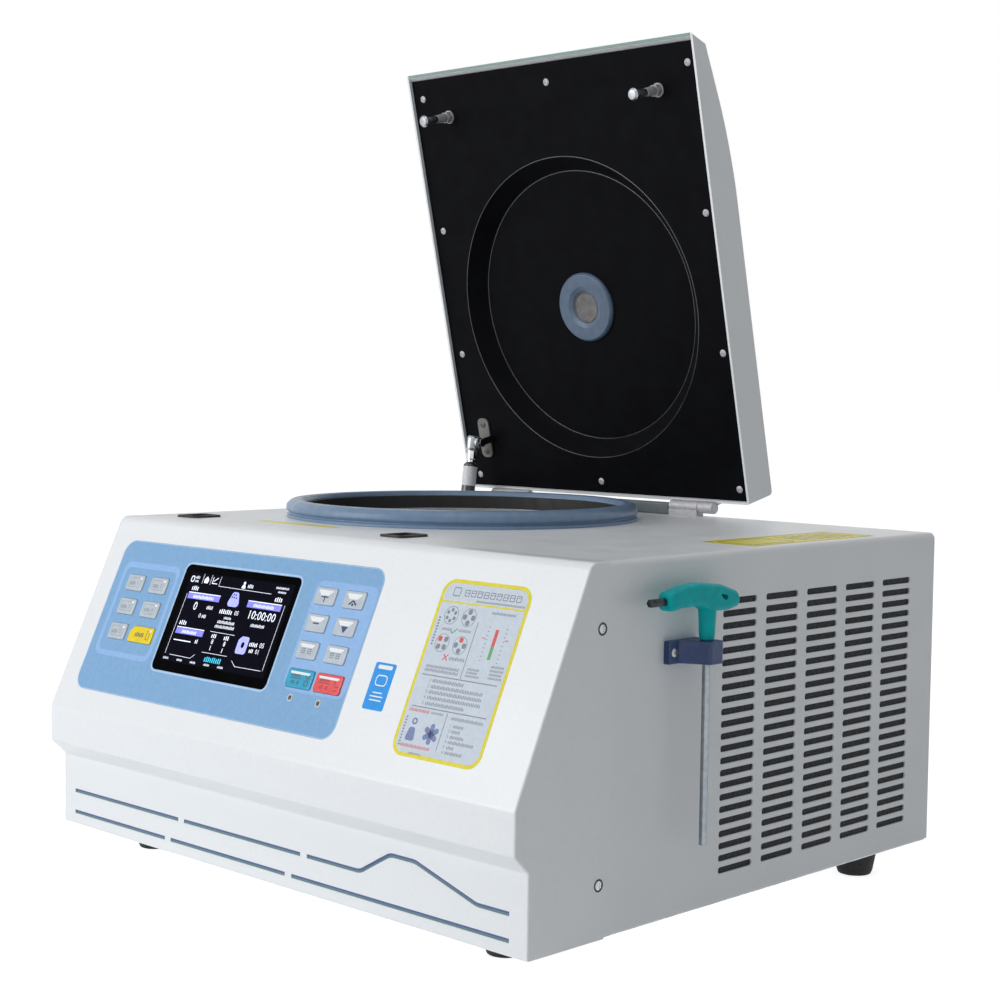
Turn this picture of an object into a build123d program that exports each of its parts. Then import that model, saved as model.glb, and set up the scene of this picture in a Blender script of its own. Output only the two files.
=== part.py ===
from build123d import *
import math
import os

os.makedirs("parts", exist_ok=True)

# Refrigerated bench centrifuge, lid open.
# +X is to the right, +Y to the back, +Z up; the origin is on the bench under the cabinet's centre.

# Cabinet
cabinet_width = 620.0
cabinet_depth = 570.0
cabinet_height = 294.0
foot_height = 21.0
sheet = 1.5
cover_bend = 6.0
cover_seam = 101.0  # from the cabinet's front to the cover's front edge
base_plate = 2.0
base_set_back = 28.5
chamber_inset = 205.0  # from the cabinet's left side to the chamber's axis
bulkhead_offset = 205.0  # from the chamber's axis to the bulkhead
bulkhead_top_gap = 15.0
bulkhead_front_gap = 4.0
return_flange = 5.0
half_width = cabinet_width / 2
front_y = -cabinet_depth / 2
rear_y = cabinet_depth / 2
seam_y = front_y + cover_seam
base_z = foot_height
floor_z = base_z + base_plate
deck_z = base_z + cabinet_height
deck_under = deck_z - sheet
chamber_x = -half_width + chamber_inset
bulkhead_x = chamber_x + bulkhead_offset

# Fascia: a lower face, a nose and a slope that carries the control panel
fascia_wall = 2.5
lower_face_set_back = 15.5
lower_face_height = 66.0
nose_height = 34.0
nose_bottom = foot_height + lower_face_height + lower_face_set_back - 0.5
nose_top = nose_bottom + nose_height
slope_run = 81.5
slope_top_round = 10.0
nose_round = 8.0
chin_round = 3.0
groove_height = 3.6
groove_depth = 1.0
upper_groove_z = 53.3
lower_groove_z = 32.7
groove_hump = 20.2
groove_side_margin = 19.5
groove_gap = 8.6
groove_bend = 15.0
upper_breaks = (189.8, 361.2)  # from the cabinet's left side
lower_breaks = (169.5, 341.0)
hump_foot = 188.0  # from the cabinet's right side
hump_start = 152.0
hump_end = 123.0
hump_right = 54.0

# Panel overlay, display and keys, measured across and up the slope
panel_margin = 27.0  # from the cabinet's left side
panel_width = 375.0
panel_left = -half_width + panel_margin
panel_right = panel_left + panel_width
panel_low = 22.0
panel_high = 173.0
panel_corner = 14.0
overlay_thickness = 1.0
overlay_fit = 0.2
display_from_left = 189.5
display_x = panel_left + display_from_left
display_s = 104.5
display_width = 166.0
display_height = 103.0
display_proud = 0.5
display_body_width = 155.0
display_body_height = 92.0
display_body_depth = 10.5
key_width = 26.6
key_height = 15.8
key_corner = 2.6
key_crown = 0.6
key_proud = 1.3
key_depth = 4.5
key_travel = 0.6
key_fit = 0.25
key_window_margin = 1.2
first_column = 36.7  # columns are measured from the panel's left edge
second_column = 73.9
third_column = 310.0
fourth_column = 346.9
left_columns = (panel_left + first_column, panel_left + second_column)
left_rows = (131.0, 107.0, 82.0)
right_columns = (panel_left + third_column, panel_left + fourth_column)
right_rows = (142.6, 118.1, 93.6)
program_column = 74.6
program_key_x = panel_left + program_column
program_key_width = 36.7
program_key_notch = 5.5
start_column = 312.8
stop_column = 349.8
start_key_x = panel_left + start_column
stop_key_x = panel_left + stop_column
large_key_width = 33.8
large_key_height = 16.6
large_key_s = 68.3
board_depth = 12.0
board_thickness = 1.6
board_margin = 4.0
board_post_radius = 4.0

# Ventilation slots in the right side
vent_columns = 5
vent_rows = 23
vent_length = 46.2
vent_height = 4.5
vent_column_pitch = 59.4
vent_row_pitch = 10.2
vent_centre_y = 101.6
vent_centre_drop = 154.15
vent_centre_z = deck_z - vent_centre_drop

# Chamber
chamber_y = 67.0
bowl_radius = 158.0
bowl_floor_z = 118.0
bowl_wall = 1.5
bowl_cone_height = 25.0
bowl_flange = 38.0
bowl_hole = 38.0
bowl_flange_z = deck_under - bowl_wall
seal_inner = 160.0
seal_flange_outer = 178.0
seal_flange_height = 3.5
seal_height = 17.0
seal_spigot = 2.7
seal_outer_slant = 6.0
seal_inner_slant = (4.0, 6.0)
seal_fit = 0.3
deck_hole = seal_inner + seal_spigot + seal_fit
ring_sides = 24
jacket_wall = 5.5
jacket_gap = 2.0
jacket_bottom_z = 150.0
jacket_height = 110.0
jacket_pipe_inset = 12.0
insulation_thickness = 24.2
insulation_floor = 20.2
insulation_hole = 66.0
insulation_fit = 0.5
armour_wall = 6.0
armour_gap = 0.3

# Drive
motor_radius = 62.0
motor_base_z = 44.0
motor_flange_thickness = 6.0
motor_flange_width = 150.0
motor_flange_corner = 28.0
motor_top_z = 108.0
motor_boss_radius = 30.0
motor_boss_height = 6.0
damper_radius = 12.0
damper_offset = 50.0
boot_height = 10.0
boot_fit = 0.2
shaft_radius = 10.0
shaft_bottom_z = 60.0
shaft_top_z = 256.0
running_fit = 0.05

# Rotor and swing buckets
rotor_radius = 125.0
rotor_bottom_z = 214.0
rotor_thickness = 22.0
rotor_hub_radius = 24.0
rotor_hub_drop = 18.0
rotor_hub_rise = 10.0
nut_radius = 16.0
nut_height = 16.0
bucket_count = 4
bucket_orbit = 95.0
bucket_pivot_z = 225.0
bucket_width = 52.0
bucket_corner = 9.0
bucket_wall = 5.5
bucket_above_pivot = 32.0
bucket_below_pivot = 52.0
bucket_side_gap = 1.5
pocket_inner = 51.0
trunnion_radius = 4.5
trunnion_sides = 8
trunnion_reach = 5.2
trunnion_end_gap = 0.5

# Refrigeration
compressor_shift = 4.0  # to the left of the compartment's middle
compressor_x = (bulkhead_x + half_width) / 2 - compressor_shift
compressor_y = -90.0
compressor_radius = 65.0
compressor_height = 150.0
compressor_foot_height = 22.0
compressor_shoulder = 15.0
compressor_foot_radius = 9.0
compressor_bracket = 3.0
condenser_side_gap = 10.0
condenser_thickness = 32.0
condenser_front_x = half_width - condenser_side_gap - condenser_thickness
condenser_start_y = -30.0
condenser_end_y = 245.0
condenser_bottom_z = 45.0
condenser_top_gap = 35.0
condenser_top_z = deck_z - condenser_top_gap
condenser_frame = 3.0
condenser_fin = 1.0
condenser_fin_count = 14
condenser_leg = 20.0
shroud_gap = 15.0
shroud_plate = 3.0
shroud_radius = 100.0
shroud_depth = 45.0
shroud_wall = 2.5
fan_radius = 95.0
fan_hub_radius = 30.0
fan_blade_count = 5
fan_blade_pitch = 32.0
fan_blade_chord = 34.0
fan_blade_thickness = 2.0
fan_depth = 28.0
fan_motor_radius = 35.0
fan_motor_depth = 38.0
fan_gap = 4.0
fan_shaft_radius = 5.0
fan_arm_count = 3
fan_arm_width = 12.0
fan_arm_depth = 6.0
pipe_radius = 3.2
pipe_clearance = 1.6
pipe_gap = 12.0
suction_offset = 25.0
discharge_offset = 20.0
condenser_inlet_drop = 30.0
condenser_outlet_rise = 45.0

# Motor inverter, mains inlet and rear vents
inverter_side_gap = 10.0
inverter_right_gap = 70.0
inverter_top_gap = 65.0
inverter_x = (bulkhead_x + inverter_side_gap, half_width - inverter_right_gap)
inverter_depth = 49.0
inverter_rear_gap = 4.0
inverter_y = (rear_y - inverter_rear_gap - inverter_depth, rear_y - inverter_rear_gap)
inverter_z = (60.0, deck_z - inverter_top_gap)
inverter_rib = 4.0
inverter_rib_count = 8
inlet_from_side = 80.0
inlet_x = -half_width + inlet_from_side
inlet_z = 80.0
inlet_width = 50.0
inlet_height = 72.0
inlet_flange = 3.0
inlet_overlap = 3.0
inlet_body_depth = 36.0
socket_width = 24.5
socket_height = 16.8
socket_chamfer = 5.0
socket_depth = 16.0
socket_drop = 15.0
socket_pin_width = 2.0
socket_pin_height = 4.0
socket_pins = ((-7.0, -2.0), (0.0, 2.0), (7.0, -2.0))
rocker_rise = 18.0
rocker_width = 22.0
rocker_height = 24.0
rocker_half_angle = 7.0
rocker_thickness = 7.0
rocker_well_depth = 14.0
rocker_fit = 0.5
rocker_swing_gap = 1.4
rocker_pivot_radius = 2.0
rocker_pivot_reach = 1.8
rocker_edge = 3.0
rocker_keel = 2.0
rear_vent_columns = 2
rear_vent_rows = 12
rear_vent_length = 70.0
rear_vent_height = 4.5
rear_vent_column_pitch = 84.0
rear_vent_row_pitch = 16.0
rear_vent_from_side = 98.0
rear_vent_x = half_width - rear_vent_from_side
rear_vent_z = 170.0

# Lid, in its closed position: v runs forward from its rear wall, w up from its rim
hinge_inset = 8.0
hinge_height = 9.5
hinge_behind_lid = 4.4
rim_above_hinge = 3.8
hinge_y = rear_y - hinge_inset
hinge_z = deck_z + hinge_height
lid_rear_y = hinge_y - hinge_behind_lid
rim_z = hinge_z + rim_above_hinge
lid_width = 404.0
lid_length = 474.5
lid_height = 42.0
lid_flat_length = 360.0
lid_nose_start = 457.0
lid_nose_height = 28.5
lid_front_drop = 467.0
lid_front_height = 18.0
lid_wall = 2.5
lid_front_wall = 5.5
lid_edge_round = 9.0
lid_corner_round = 7.0
lid_opening = 76.75
liner_thickness = 2.0
liner_depth = 4.0
liner_fit = 0.2
dish_radius = 161.0
dish_floor_radius = 141.0
dish_depth = 17.0
hub_radius = 37.5
hub_hole = 17.0
hub_height = 5.0
window_fit = 0.3
liner_screw_radius = 4.5
liner_screw_height = 1.6
liner_screw_margins = (16.5, 13.0)
liner_screws_u = (liner_screw_margins[0], lid_width / 2 + 1, lid_width - liner_screw_margins[1])
liner_screws_v = (15.0, 157.5, 299.5, 446.8)
latch_spacing = 297.0
latch_y = seam_y + 32.5
striker_length = 42.0
striker_washer = 9.0
striker_hex = 14.0
striker_hex_height = 6.0
striker_stem = 4.0
striker_head = 8.0
striker_head_height = 5.2
striker_washer_height = 2.0

# Latch inserts, lock housings and slide
latch_opening = (22.0, 27.0)
latch_rim = (33.0, 37.0)
latch_rim_height = 1.0
latch_sleeve = 2.5
latch_sleeve_depth = 15.0
latch_corner = 3.0
housing_width = 68.0
housing_depth = 44.0
housing_height = 51.5
housing_wall = 2.0
slide_beyond_latches = 26.5
slide_length = latch_spacing + 2 * slide_beyond_latches
slide_width = 30.0
slide_thickness = 3.0
slide_drop = 17.5
slide_z = deck_under - slide_drop
slide_travel = 14.0
slide_fit = 0.3
keyhole_radius = 9.5
keyhole_slot = 4.6
actuator_width = 40.0
actuator_hanger = 2.5

# Hinges
barrel_radius = 6.25
hinge_pin_radius = 3.0
fixed_knuckle = 37.5
lid_knuckle = 19.5
knuckle_gap = 0.3
knuckle_offset = 103.0  # from the chamber's middle to the fixed knuckle's inner end
hinge_web = 12.0
hinge_leaf = 3.0
hinge_leaf_height = 26.0
rim_notch_radius = 7.0
rail_height = 12.5

# Gas strut
strut_from_side = 36.0
strut_x = -half_width + strut_from_side
strut_lid_v = 59.0
strut_lid_w = -17.0
strut_foot_y = 220.0
strut_foot_z = 138.0
strut_tube_radius = 8.0
strut_tube_length = 130.0
strut_collar_radius = 4.2
strut_collar_length = 14.0
strut_end_radius = 6.5
strut_end_above = 7.0
strut_end_below = 12.0
strut_end_width = 13.0
strut_stud_radius = 3.0
strut_rod_radius = 4.0
strut_rod_fit = 0.06
strut_rod_length = 128.0
strut_eye_radius = 8.0
strut_eye_width = 15.0
strut_bore_start = 42.0
strut_slot_left = 16.0
strut_slot_right = 18.0
strut_slot_x = (strut_x - strut_slot_left, strut_x + strut_slot_right)
strut_slot_y = (198.0, 256.0)
strut_plate_left = 9.0
strut_plate_right = 15.0
strut_plate_x = (strut_x - strut_plate_left, strut_x + strut_plate_right)
strut_plate_v = (36.0, 83.0)
strut_plate_thickness = 2.0
strut_flange_v = (48.0, 70.0)
strut_flange_low_w = -24.0
strut_stud_length = 20.0
strut_flange_gap = 5.5
strut_foot_plate = (40.0, 22.0, 28.0)  # along Y, above and below the lower end

# Hexagon key and its bracket on the right side
key_blade_x = 18.7  # from the cabinet's side
key_blade_y = -85.8
hex_across_flats = 6.0
blade_tip_z = 81.8
short_arm_z = 282.0
short_arm_y = -162.4
handle_front_y = -149.0
handle_back_y = -48.0
handle_low_z = 269.0
handle_top_z = 294.7
handle_corner = 3.0
handle_back_corner = 5.0
handle_thickness = 15.5
handle_edge_round = 4.5
neck_top_radius = 7.5
neck_bottom_radius = 5.5
neck_overlap = 8.0
bracket_bottom_z = 229.0
bracket_top_z = 247.5
neck_clearance = 0.3
bracket_reach = 29.0
bracket_flange_thickness = 6.0
bracket_flange_y = (-116.7, -80.0)
bracket_block_y = (-96.0, -76.0)
bracket_hole = 3.8
bracket_rib = (8.0, 9.0, 3.0)
eyelet_radius = 4.0
eyelet_y = -62.0
eyelet_z = 281.0

# Feet
foot_radius_bottom = 16.0
foot_flare = 10.0
foot_sides = 16
rear_foot_insets = (25.0, 84.0)
front_foot_insets = (75.0, 70.0)
rear_feet = (half_width - rear_foot_insets[0], rear_y - rear_foot_insets[1])
front_feet = (half_width - front_foot_insets[0], front_y + front_foot_insets[1])


def outline(points, rounds=None):
    """Closed face through the points, with a fillet radius for each corner index in rounds."""
    face = Sketch() + make_face(Polyline(*points, close=True))
    for index, radius in (rounds or {}).items():
        corner = face.vertices().sort_by_distance(points[index])[0]
        face = fillet(corner, radius)
    return face


def along_x(face, start, end):
    """Solid from a face drawn in Y and Z."""
    return Pos(start, 0, 0) * extrude(Plane.YZ * face, end - start)


def along_y(face, start, end):
    """Solid from a face drawn in X and Z."""
    return Pos(0, end, 0) * extrude(Plane.XZ * face, end - start)


def along_z(face, start, end):
    """Solid from a face drawn in X and Y."""
    return Pos(0, 0, start) * extrude(face, end - start)


def block(x, y, z):
    """Box between the low and the high value of each pair."""
    pairs = (x, y, z)
    size = [high - low for low, high in pairs]
    centre = [(high + low) / 2 for low, high in pairs]
    return Pos(*centre) * Box(*size)


def turned(points):
    """Solid turned about the Z axis from points in radius and height."""
    return revolve(Plane.XZ * outline(points), axis=Axis.Z)


def prism_ring(outer, inner, bottom, top):
    """Ring rolled from flats, as wide across its corners as the outer value."""
    face = RegularPolygon(outer, ring_sides) - RegularPolygon(inner, ring_sides)
    return along_z(face, bottom, top)


def at_chamber(solid):
    return Pos(chamber_x, chamber_y, 0) * solid


def trimmed_rectangle(width, height, corner):
    """Rectangle with its corners cut at 45 degrees."""
    face = Rectangle(width, height)
    return chamfer(face.vertices(), corner)


# Frames for the slope and for the open lid
slope_rise = deck_z - nose_top
slope = Plane(origin=(0, front_y, nose_top), x_dir=(1, 0, 0), z_dir=(0, -slope_rise, slope_run))
open_lid = Pos(0, hinge_y, hinge_z) * Rot(-lid_opening, 0, 0) * Pos(0, -hinge_y, -hinge_z)
lid_left = chamber_x - lid_width / 2
lid_right = chamber_x + lid_width / 2
latch_xs = (chamber_x - latch_spacing / 2, chamber_x + latch_spacing / 2)


def on_slope(solid):
    """Places a solid drawn across and up the slope, with its third axis outwards."""
    return slope.location * solid


def at_v(v):
    return lid_rear_y - v


def at_w(w):
    return rim_z + w


# Cabinet pieces


def fascia_profile():
    lower_y = front_y + lower_face_set_back
    points = [
        (lower_y, base_z),
        (lower_y, base_z + lower_face_height),
        (front_y, nose_bottom),
        (front_y, nose_top),
        (front_y + slope_run, deck_z),
        (seam_y, deck_z),
        (seam_y, base_z),
    ]
    rounds = {1: chin_round, 2: chin_round, 3: nose_round, 4: slope_top_round}
    return outline(points, rounds)


def groove(points):
    """Shallow line cut in the fascia's lower face along points in X and Z."""
    lower_y = front_y + lower_face_set_back
    path = Polyline(*points)
    if len(points) > 2:
        path = FilletPolyline(*points, radius=groove_bend)
    return along_y(trace(path, groove_height), lower_y - 1, lower_y + groove_depth)


def groove_cuts():
    left = -half_width + groove_side_margin
    right = half_width - groove_side_margin
    z = upper_groove_z
    hump_z = upper_groove_z + groove_hump
    half_gap = groove_gap / 2
    first, second = [place - half_width for place in upper_breaks]
    hump = [(second + half_gap, z), (half_width - hump_foot, z), (half_width - hump_start, hump_z)]
    hump += [(half_width - hump_end, hump_z), (half_width - hump_right, z), (right, z)]
    cuts = groove([(left, z), (first - half_gap, z)])
    cuts += groove([(first + half_gap, z), (second - half_gap, z)])
    cuts += groove(hump)
    z = lower_groove_z
    first, second = [place - half_width for place in lower_breaks]
    cuts += groove([(left, z), (first - half_gap, z)])
    cuts += groove([(first + half_gap, z), (second - half_gap, z)])
    cuts += groove([(second + half_gap, z), (right, z)])
    return cuts


def key_list():
    """Name, place across, place up, width, height and notch of every key on the panel."""
    keys = []
    for row, s in enumerate(left_rows):
        for column, x in enumerate(left_columns):
            if (row, column) != (2, 1):
                keys.append((f"key_left_{len(keys) + 1}", x, s, key_width, key_height, key_corner))
    keys.append(
        ("key_program", program_key_x, left_rows[2], program_key_width, key_height, program_key_notch)
    )
    for s in right_rows:
        for x in right_columns:
            number = len(keys) - 5
            keys.append((f"key_right_{number}", x, s, key_width, key_height, key_corner))
    keys.append(("key_start", start_key_x, large_key_s, large_key_width, large_key_height, key_corner))
    keys.append(("key_stop", stop_key_x, large_key_s, large_key_width, large_key_height, key_corner))
    return keys


def key_face(width, height, notch, growth=0.0):
    """Key outline; its upper left corner is cut back by the notch."""
    face = Rectangle(width + 2 * growth, height + 2 * growth)
    upper_left = face.vertices().sort_by_distance((-width, height))[0]
    face = chamfer(upper_left, notch)
    corners = face.vertices().sort_by_distance((-width, height))[2:]
    return chamfer(corners, key_corner)


def key_window(keys):
    """Limits across and up the slope of the opening behind a group of keys."""
    left = min(x - width / 2 for _, x, _, width, _, _ in keys) - key_window_margin
    right = max(x + width / 2 for _, x, _, width, _, _ in keys) + key_window_margin
    low = min(s - height / 2 for _, _, s, _, height, _ in keys) - key_window_margin
    high = max(s + height / 2 for _, _, s, _, height, _ in keys) + key_window_margin
    return (left, right), (low, high)


def key_groups():
    keys = key_list()
    left = [key for key in keys if key[1] < display_x]
    right = [key for key in keys if key[1] > display_x]
    return left, right


def panel_face(margin):
    width = panel_right - panel_left + 2 * margin
    height = panel_high - panel_low + 2 * margin
    face = RectangleRounded(width, height, panel_corner)
    return Pos((panel_left + panel_right) / 2, (panel_low + panel_high) / 2) * face


def make_fascia():
    profile = fascia_profile()
    body = along_x(profile, -half_width, half_width)
    hollow = offset(profile, -fascia_wall, kind=Kind.INTERSECTION)
    inner_x = half_width - fascia_wall
    body -= along_x(hollow, -inner_x, inner_x)
    behind = (seam_y - fascia_wall - 1, seam_y + 1)
    body -= block((-inner_x, inner_x), behind, (base_z - 1, deck_z - fascia_wall))
    base_front = front_y + base_set_back
    below = (base_z - 1, base_z + fascia_wall + 1)
    body -= block((-inner_x, inner_x), (base_front, seam_y + 1), below)
    recess = along_z(panel_face(overlay_fit), -overlay_thickness, 1)
    cuts = recess
    body_window = Rectangle(display_body_width + 2, display_body_height + 2)
    cuts += Pos(display_x, display_s, 0) * along_z(body_window, -fascia_wall - 2, 1)
    for group in key_groups():
        x, s = key_window(group)
        cuts += block(x, s, (-fascia_wall - 2, 1))
    body -= on_slope(cuts)
    return body - groove_cuts()


def make_overlay():
    face = panel_face(0)
    window = Rectangle(display_width + 2 * overlay_fit, display_height + 2 * overlay_fit)
    face -= Pos(display_x, display_s) * window
    for _, x, s, width, height, notch in key_list():
        face -= Pos(x, s) * key_face(width, height, notch, key_fit)
    return on_slope(along_z(face, -overlay_thickness, 0))


def make_display():
    face = along_z(Rectangle(display_width, display_height), -overlay_thickness, display_proud)
    back = -overlay_thickness - display_body_depth
    body = along_z(Rectangle(display_body_width, display_body_height), back, -overlay_thickness)
    return on_slope(Pos(display_x, display_s, 0) * (face + body))


def make_key(width, height, notch, x, s):
    body = along_z(key_face(width, height, notch), -key_depth, key_proud)
    top = body.faces().sort_by(Axis.Z)[-1]
    body = chamfer(top.edges(), key_crown)
    return on_slope(Pos(x, s, 0) * body)


def make_control_board():
    low = panel_low + board_margin
    high = panel_high - board_margin
    left = panel_left + board_margin
    right = panel_right - board_margin
    board = block((left, right), (low, high), (-board_depth - board_thickness, -board_depth))
    switch_top = -key_depth - key_travel
    for group in key_groups():
        x, s = key_window(group)
        board += block(x, s, (-board_depth, switch_top))
    inset = board_post_radius + 1
    for x in (left + inset, right - inset):
        for s in (low + inset, high - inset):
            post = along_z(RegularPolygon(board_post_radius, 8), -board_depth, -fascia_wall)
            board += Pos(x, s, 0) * post
    return on_slope(board)


def cover_section(inset):
    side = half_width - inset
    top = deck_z - inset
    points = [(-side, floor_z - inset), (-side, top), (side, top), (side, floor_z - inset)]
    bend = cover_bend - inset
    return outline(points, {1: bend, 2: bend})


def vent_slots():
    centres = GridLocations(vent_column_pitch, vent_row_pitch, vent_columns, vent_rows)
    middle = Pos(vent_centre_y, vent_centre_z)
    slots = [middle * place * Rectangle(vent_length, vent_height) for place in centres]
    return [along_x(slot, half_width - 2 * sheet, half_width + 1) for slot in slots]


def make_cover():
    cover = along_y(cover_section(0) - cover_section(sheet), seam_y, rear_y)
    inner_side = half_width - sheet
    for side in (-1, 1):
        x = sorted((side * inner_side, side * (inner_side - return_flange)))
        cover += block(x, (seam_y, rear_y - sheet), (floor_z, floor_z + sheet))
    cuts = at_chamber(along_z(Circle(deck_hole), deck_under - 1, deck_z + 1))
    sleeve_x = latch_opening[0] + 2 * latch_sleeve
    sleeve_y = latch_opening[1] + 2 * latch_sleeve
    for x in latch_xs:
        sleeve = trimmed_rectangle(sleeve_x, sleeve_y, latch_corner)
        cuts += Pos(x, latch_y, 0) * along_z(sleeve, deck_under - 1, deck_z + 1)
    cuts += block(strut_slot_x, strut_slot_y, (deck_under - 1, deck_z + 1))
    return cover - cuts - vent_slots()


def make_chassis():
    inner_x = half_width - fascia_wall
    base = block((-inner_x, inner_x), (front_y + base_set_back, rear_y), (base_z, floor_z))
    wall = block(
        (bulkhead_x, bulkhead_x + sheet),
        (seam_y + bulkhead_front_gap, rear_y - sheet),
        (floor_z, deck_z - bulkhead_top_gap),
    )
    for z in pipe_heights():
        hole = RegularPolygon(pipe_radius + pipe_clearance, 8)
        wall -= along_x(Pos(chamber_y, z) * hole, bulkhead_x - 1, bulkhead_x + sheet + 1)
    return base + wall


def make_rear_panel():
    side = half_width - sheet
    bend = cover_bend - sheet
    points = [(-side, floor_z), (-side, deck_under), (side, deck_under), (side, floor_z)]
    face = outline(points, {1: bend, 2: bend})
    places = GridLocations(
        rear_vent_column_pitch, rear_vent_row_pitch, rear_vent_columns, rear_vent_rows
    )
    for place in places:
        face -= Pos(rear_vent_x, rear_vent_z) * place * Rectangle(rear_vent_length, rear_vent_height)
    opening = Rectangle(inlet_width - 2 * inlet_overlap, inlet_height - 2 * inlet_overlap)
    face -= Pos(inlet_x, inlet_z) * opening
    return along_y(face, rear_y - sheet, rear_y)


def make_feet():
    feet = []
    for half_x, y in (rear_feet, front_feet):
        for x in (-half_x, half_x):
            foot = extrude(RegularPolygon(foot_radius_bottom, foot_sides), foot_height, taper=-foot_flare)
            feet.append(Pos(x, y, 0) * foot)
    return feet


# Chamber and drive pieces


def make_bowl():
    cone_radius = bowl_radius - bowl_cone_height
    under = bowl_floor_z - bowl_wall
    slant = bowl_wall * math.tan(math.radians(22.5))
    shoulder = bowl_floor_z + bowl_cone_height
    profile = [
        (bowl_hole, bowl_floor_z),
        (cone_radius, bowl_floor_z),
        (bowl_radius, shoulder),
        (bowl_radius, deck_under),
        (bowl_radius + bowl_flange, deck_under),
        (bowl_radius + bowl_flange, bowl_flange_z),
        (bowl_radius + bowl_wall, bowl_flange_z),
        (bowl_radius + bowl_wall, shoulder - slant),
        (cone_radius + slant, under),
        (bowl_hole, under),
    ]
    return at_chamber(turned(profile))


def make_seal():
    top = deck_z + seal_height
    flange_top = deck_z + seal_flange_height
    spigot = seal_inner + seal_spigot
    profile = [
        (seal_inner, deck_under),
        (spigot, deck_under),
        (spigot, deck_z),
        (seal_flange_outer, deck_z),
        (seal_flange_outer, flange_top),
        (seal_flange_outer - seal_outer_slant, top),
        (seal_inner + seal_inner_slant[0], top),
        (seal_inner, top - seal_inner_slant[1]),
    ]
    return at_chamber(turned(profile))


jacket_inner = bowl_radius + bowl_wall + jacket_gap
jacket_outer = jacket_inner + jacket_wall
insulation_inner = jacket_outer + insulation_fit
insulation_outer = insulation_inner + insulation_thickness
armour_inner = insulation_outer + armour_gap


def pipe_heights():
    """Heights at which the liquid and the suction pipe reach the evaporator."""
    top = jacket_bottom_z + jacket_height
    return (jacket_bottom_z + jacket_pipe_inset, top - jacket_pipe_inset)


def pipe_bores(solid):
    for z in pipe_heights():
        hole = Pos(0, z) * RegularPolygon(pipe_radius + pipe_clearance, 8)
        solid -= along_x(hole, 0, armour_inner + 2 * armour_wall)
    return solid


def make_insulation():
    under_bowl = bowl_floor_z - bowl_wall - armour_gap
    wall = prism_ring(insulation_outer, insulation_inner, under_bowl - insulation_floor, bowl_flange_z)
    floor = prism_ring(insulation_outer, insulation_hole, under_bowl - insulation_floor, under_bowl)
    return at_chamber(pipe_bores(wall + floor))


def make_armour():
    ring = prism_ring(armour_inner + armour_wall, armour_inner, floor_z, bowl_flange_z)
    return at_chamber(pipe_bores(ring))


def make_motor():
    flange = trimmed_rectangle(motor_flange_width, motor_flange_width, motor_flange_corner)
    flange_top = motor_base_z + motor_flange_thickness
    boss_top = motor_top_z + motor_boss_height
    motor = along_z(flange, motor_base_z, flange_top)
    motor += along_z(Circle(motor_radius), flange_top, motor_top_z)
    motor += along_z(Circle(motor_boss_radius), motor_top_z, boss_top)
    bore = Circle(shaft_radius + running_fit)
    return at_chamber(motor - along_z(bore, shaft_bottom_z, boss_top + 1))


def make_motor_rubbers():
    pieces = []
    for x in (-damper_offset, damper_offset):
        for y in (-damper_offset, damper_offset):
            damper = along_z(RegularPolygon(damper_radius, 8), floor_z, motor_base_z)
            pieces.append(at_chamber(Pos(x, y, 0) * damper))
    inner = motor_boss_radius + boot_fit
    outer = bowl_hole - boot_fit
    ring = RegularPolygon(outer, ring_sides) - RegularPolygon(inner, ring_sides, major_radius=False)
    boot = along_z(ring, bowl_floor_z - boot_height, bowl_floor_z)
    pieces.append(at_chamber(boot))
    return pieces


def make_shaft():
    return at_chamber(along_z(Circle(shaft_radius), shaft_bottom_z, shaft_top_z))


def make_rotor_head():
    top = rotor_bottom_z + rotor_thickness
    hub_bottom = rotor_bottom_z - rotor_hub_drop
    hub_top = top + rotor_hub_rise
    half_pocket = bucket_width / 2 + bucket_side_gap
    face = Sketch() + Circle(rotor_radius)
    step = 360 / bucket_count
    pocket_length = rotor_radius - pocket_inner + 10
    pocket = Pos(pocket_inner + pocket_length / 2, 0) * Rectangle(pocket_length, 2 * half_pocket)
    for number in range(bucket_count):
        face -= Rot(0, 0, number * step) * pocket
    head = along_z(face, rotor_bottom_z, top)
    head += along_z(Circle(rotor_hub_radius), hub_bottom, hub_top)
    inner_end = half_pocket - trunnion_reach
    for number in range(bucket_count):
        for side in (-1, 1):
            y = sorted((side * half_pocket, side * inner_end))
            pin = along_y(Pos(bucket_orbit, bucket_pivot_z) * Circle(trunnion_radius), *y)
            head += Rot(0, 0, number * step) * pin
    bore = along_z(Circle(shaft_radius + running_fit), hub_bottom - 1, hub_top + 1)
    return at_chamber(head - bore)


def make_rotor_nut():
    bottom = rotor_bottom_z + rotor_thickness + rotor_hub_rise
    nut = along_z(RegularPolygon(nut_radius, 12), bottom, bottom + nut_height)
    bore = along_z(Circle(shaft_radius + running_fit), bottom - 1, shaft_top_z)
    return at_chamber(nut - bore)


def make_bucket(number):
    face = trimmed_rectangle(bucket_width, bucket_width, bucket_corner)
    bottom = bucket_pivot_z - bucket_below_pivot
    top = bucket_pivot_z + bucket_above_pivot
    inside = bucket_width - 2 * bucket_wall
    cavity = trimmed_rectangle(inside, inside, bucket_corner - bucket_wall / 2)
    bucket = along_z(face, bottom, top) - along_z(cavity, bottom + bucket_wall, top + 1)
    pin_end = bucket_width / 2 + bucket_side_gap - trunnion_reach
    for side in (-1, 1):
        y = sorted((side * (pin_end - trunnion_end_gap), side * bucket_width))
        bore = RegularPolygon(trunnion_radius + running_fit, trunnion_sides, major_radius=False)
        bore = Pos(0, bucket_pivot_z) * bore
        bucket -= along_y(bore, *y)
    turn = Rot(0, 0, number * 360 / bucket_count)
    return at_chamber(turn * (Pos(bucket_orbit, 0, 0) * bucket))


# Refrigeration pieces


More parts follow.
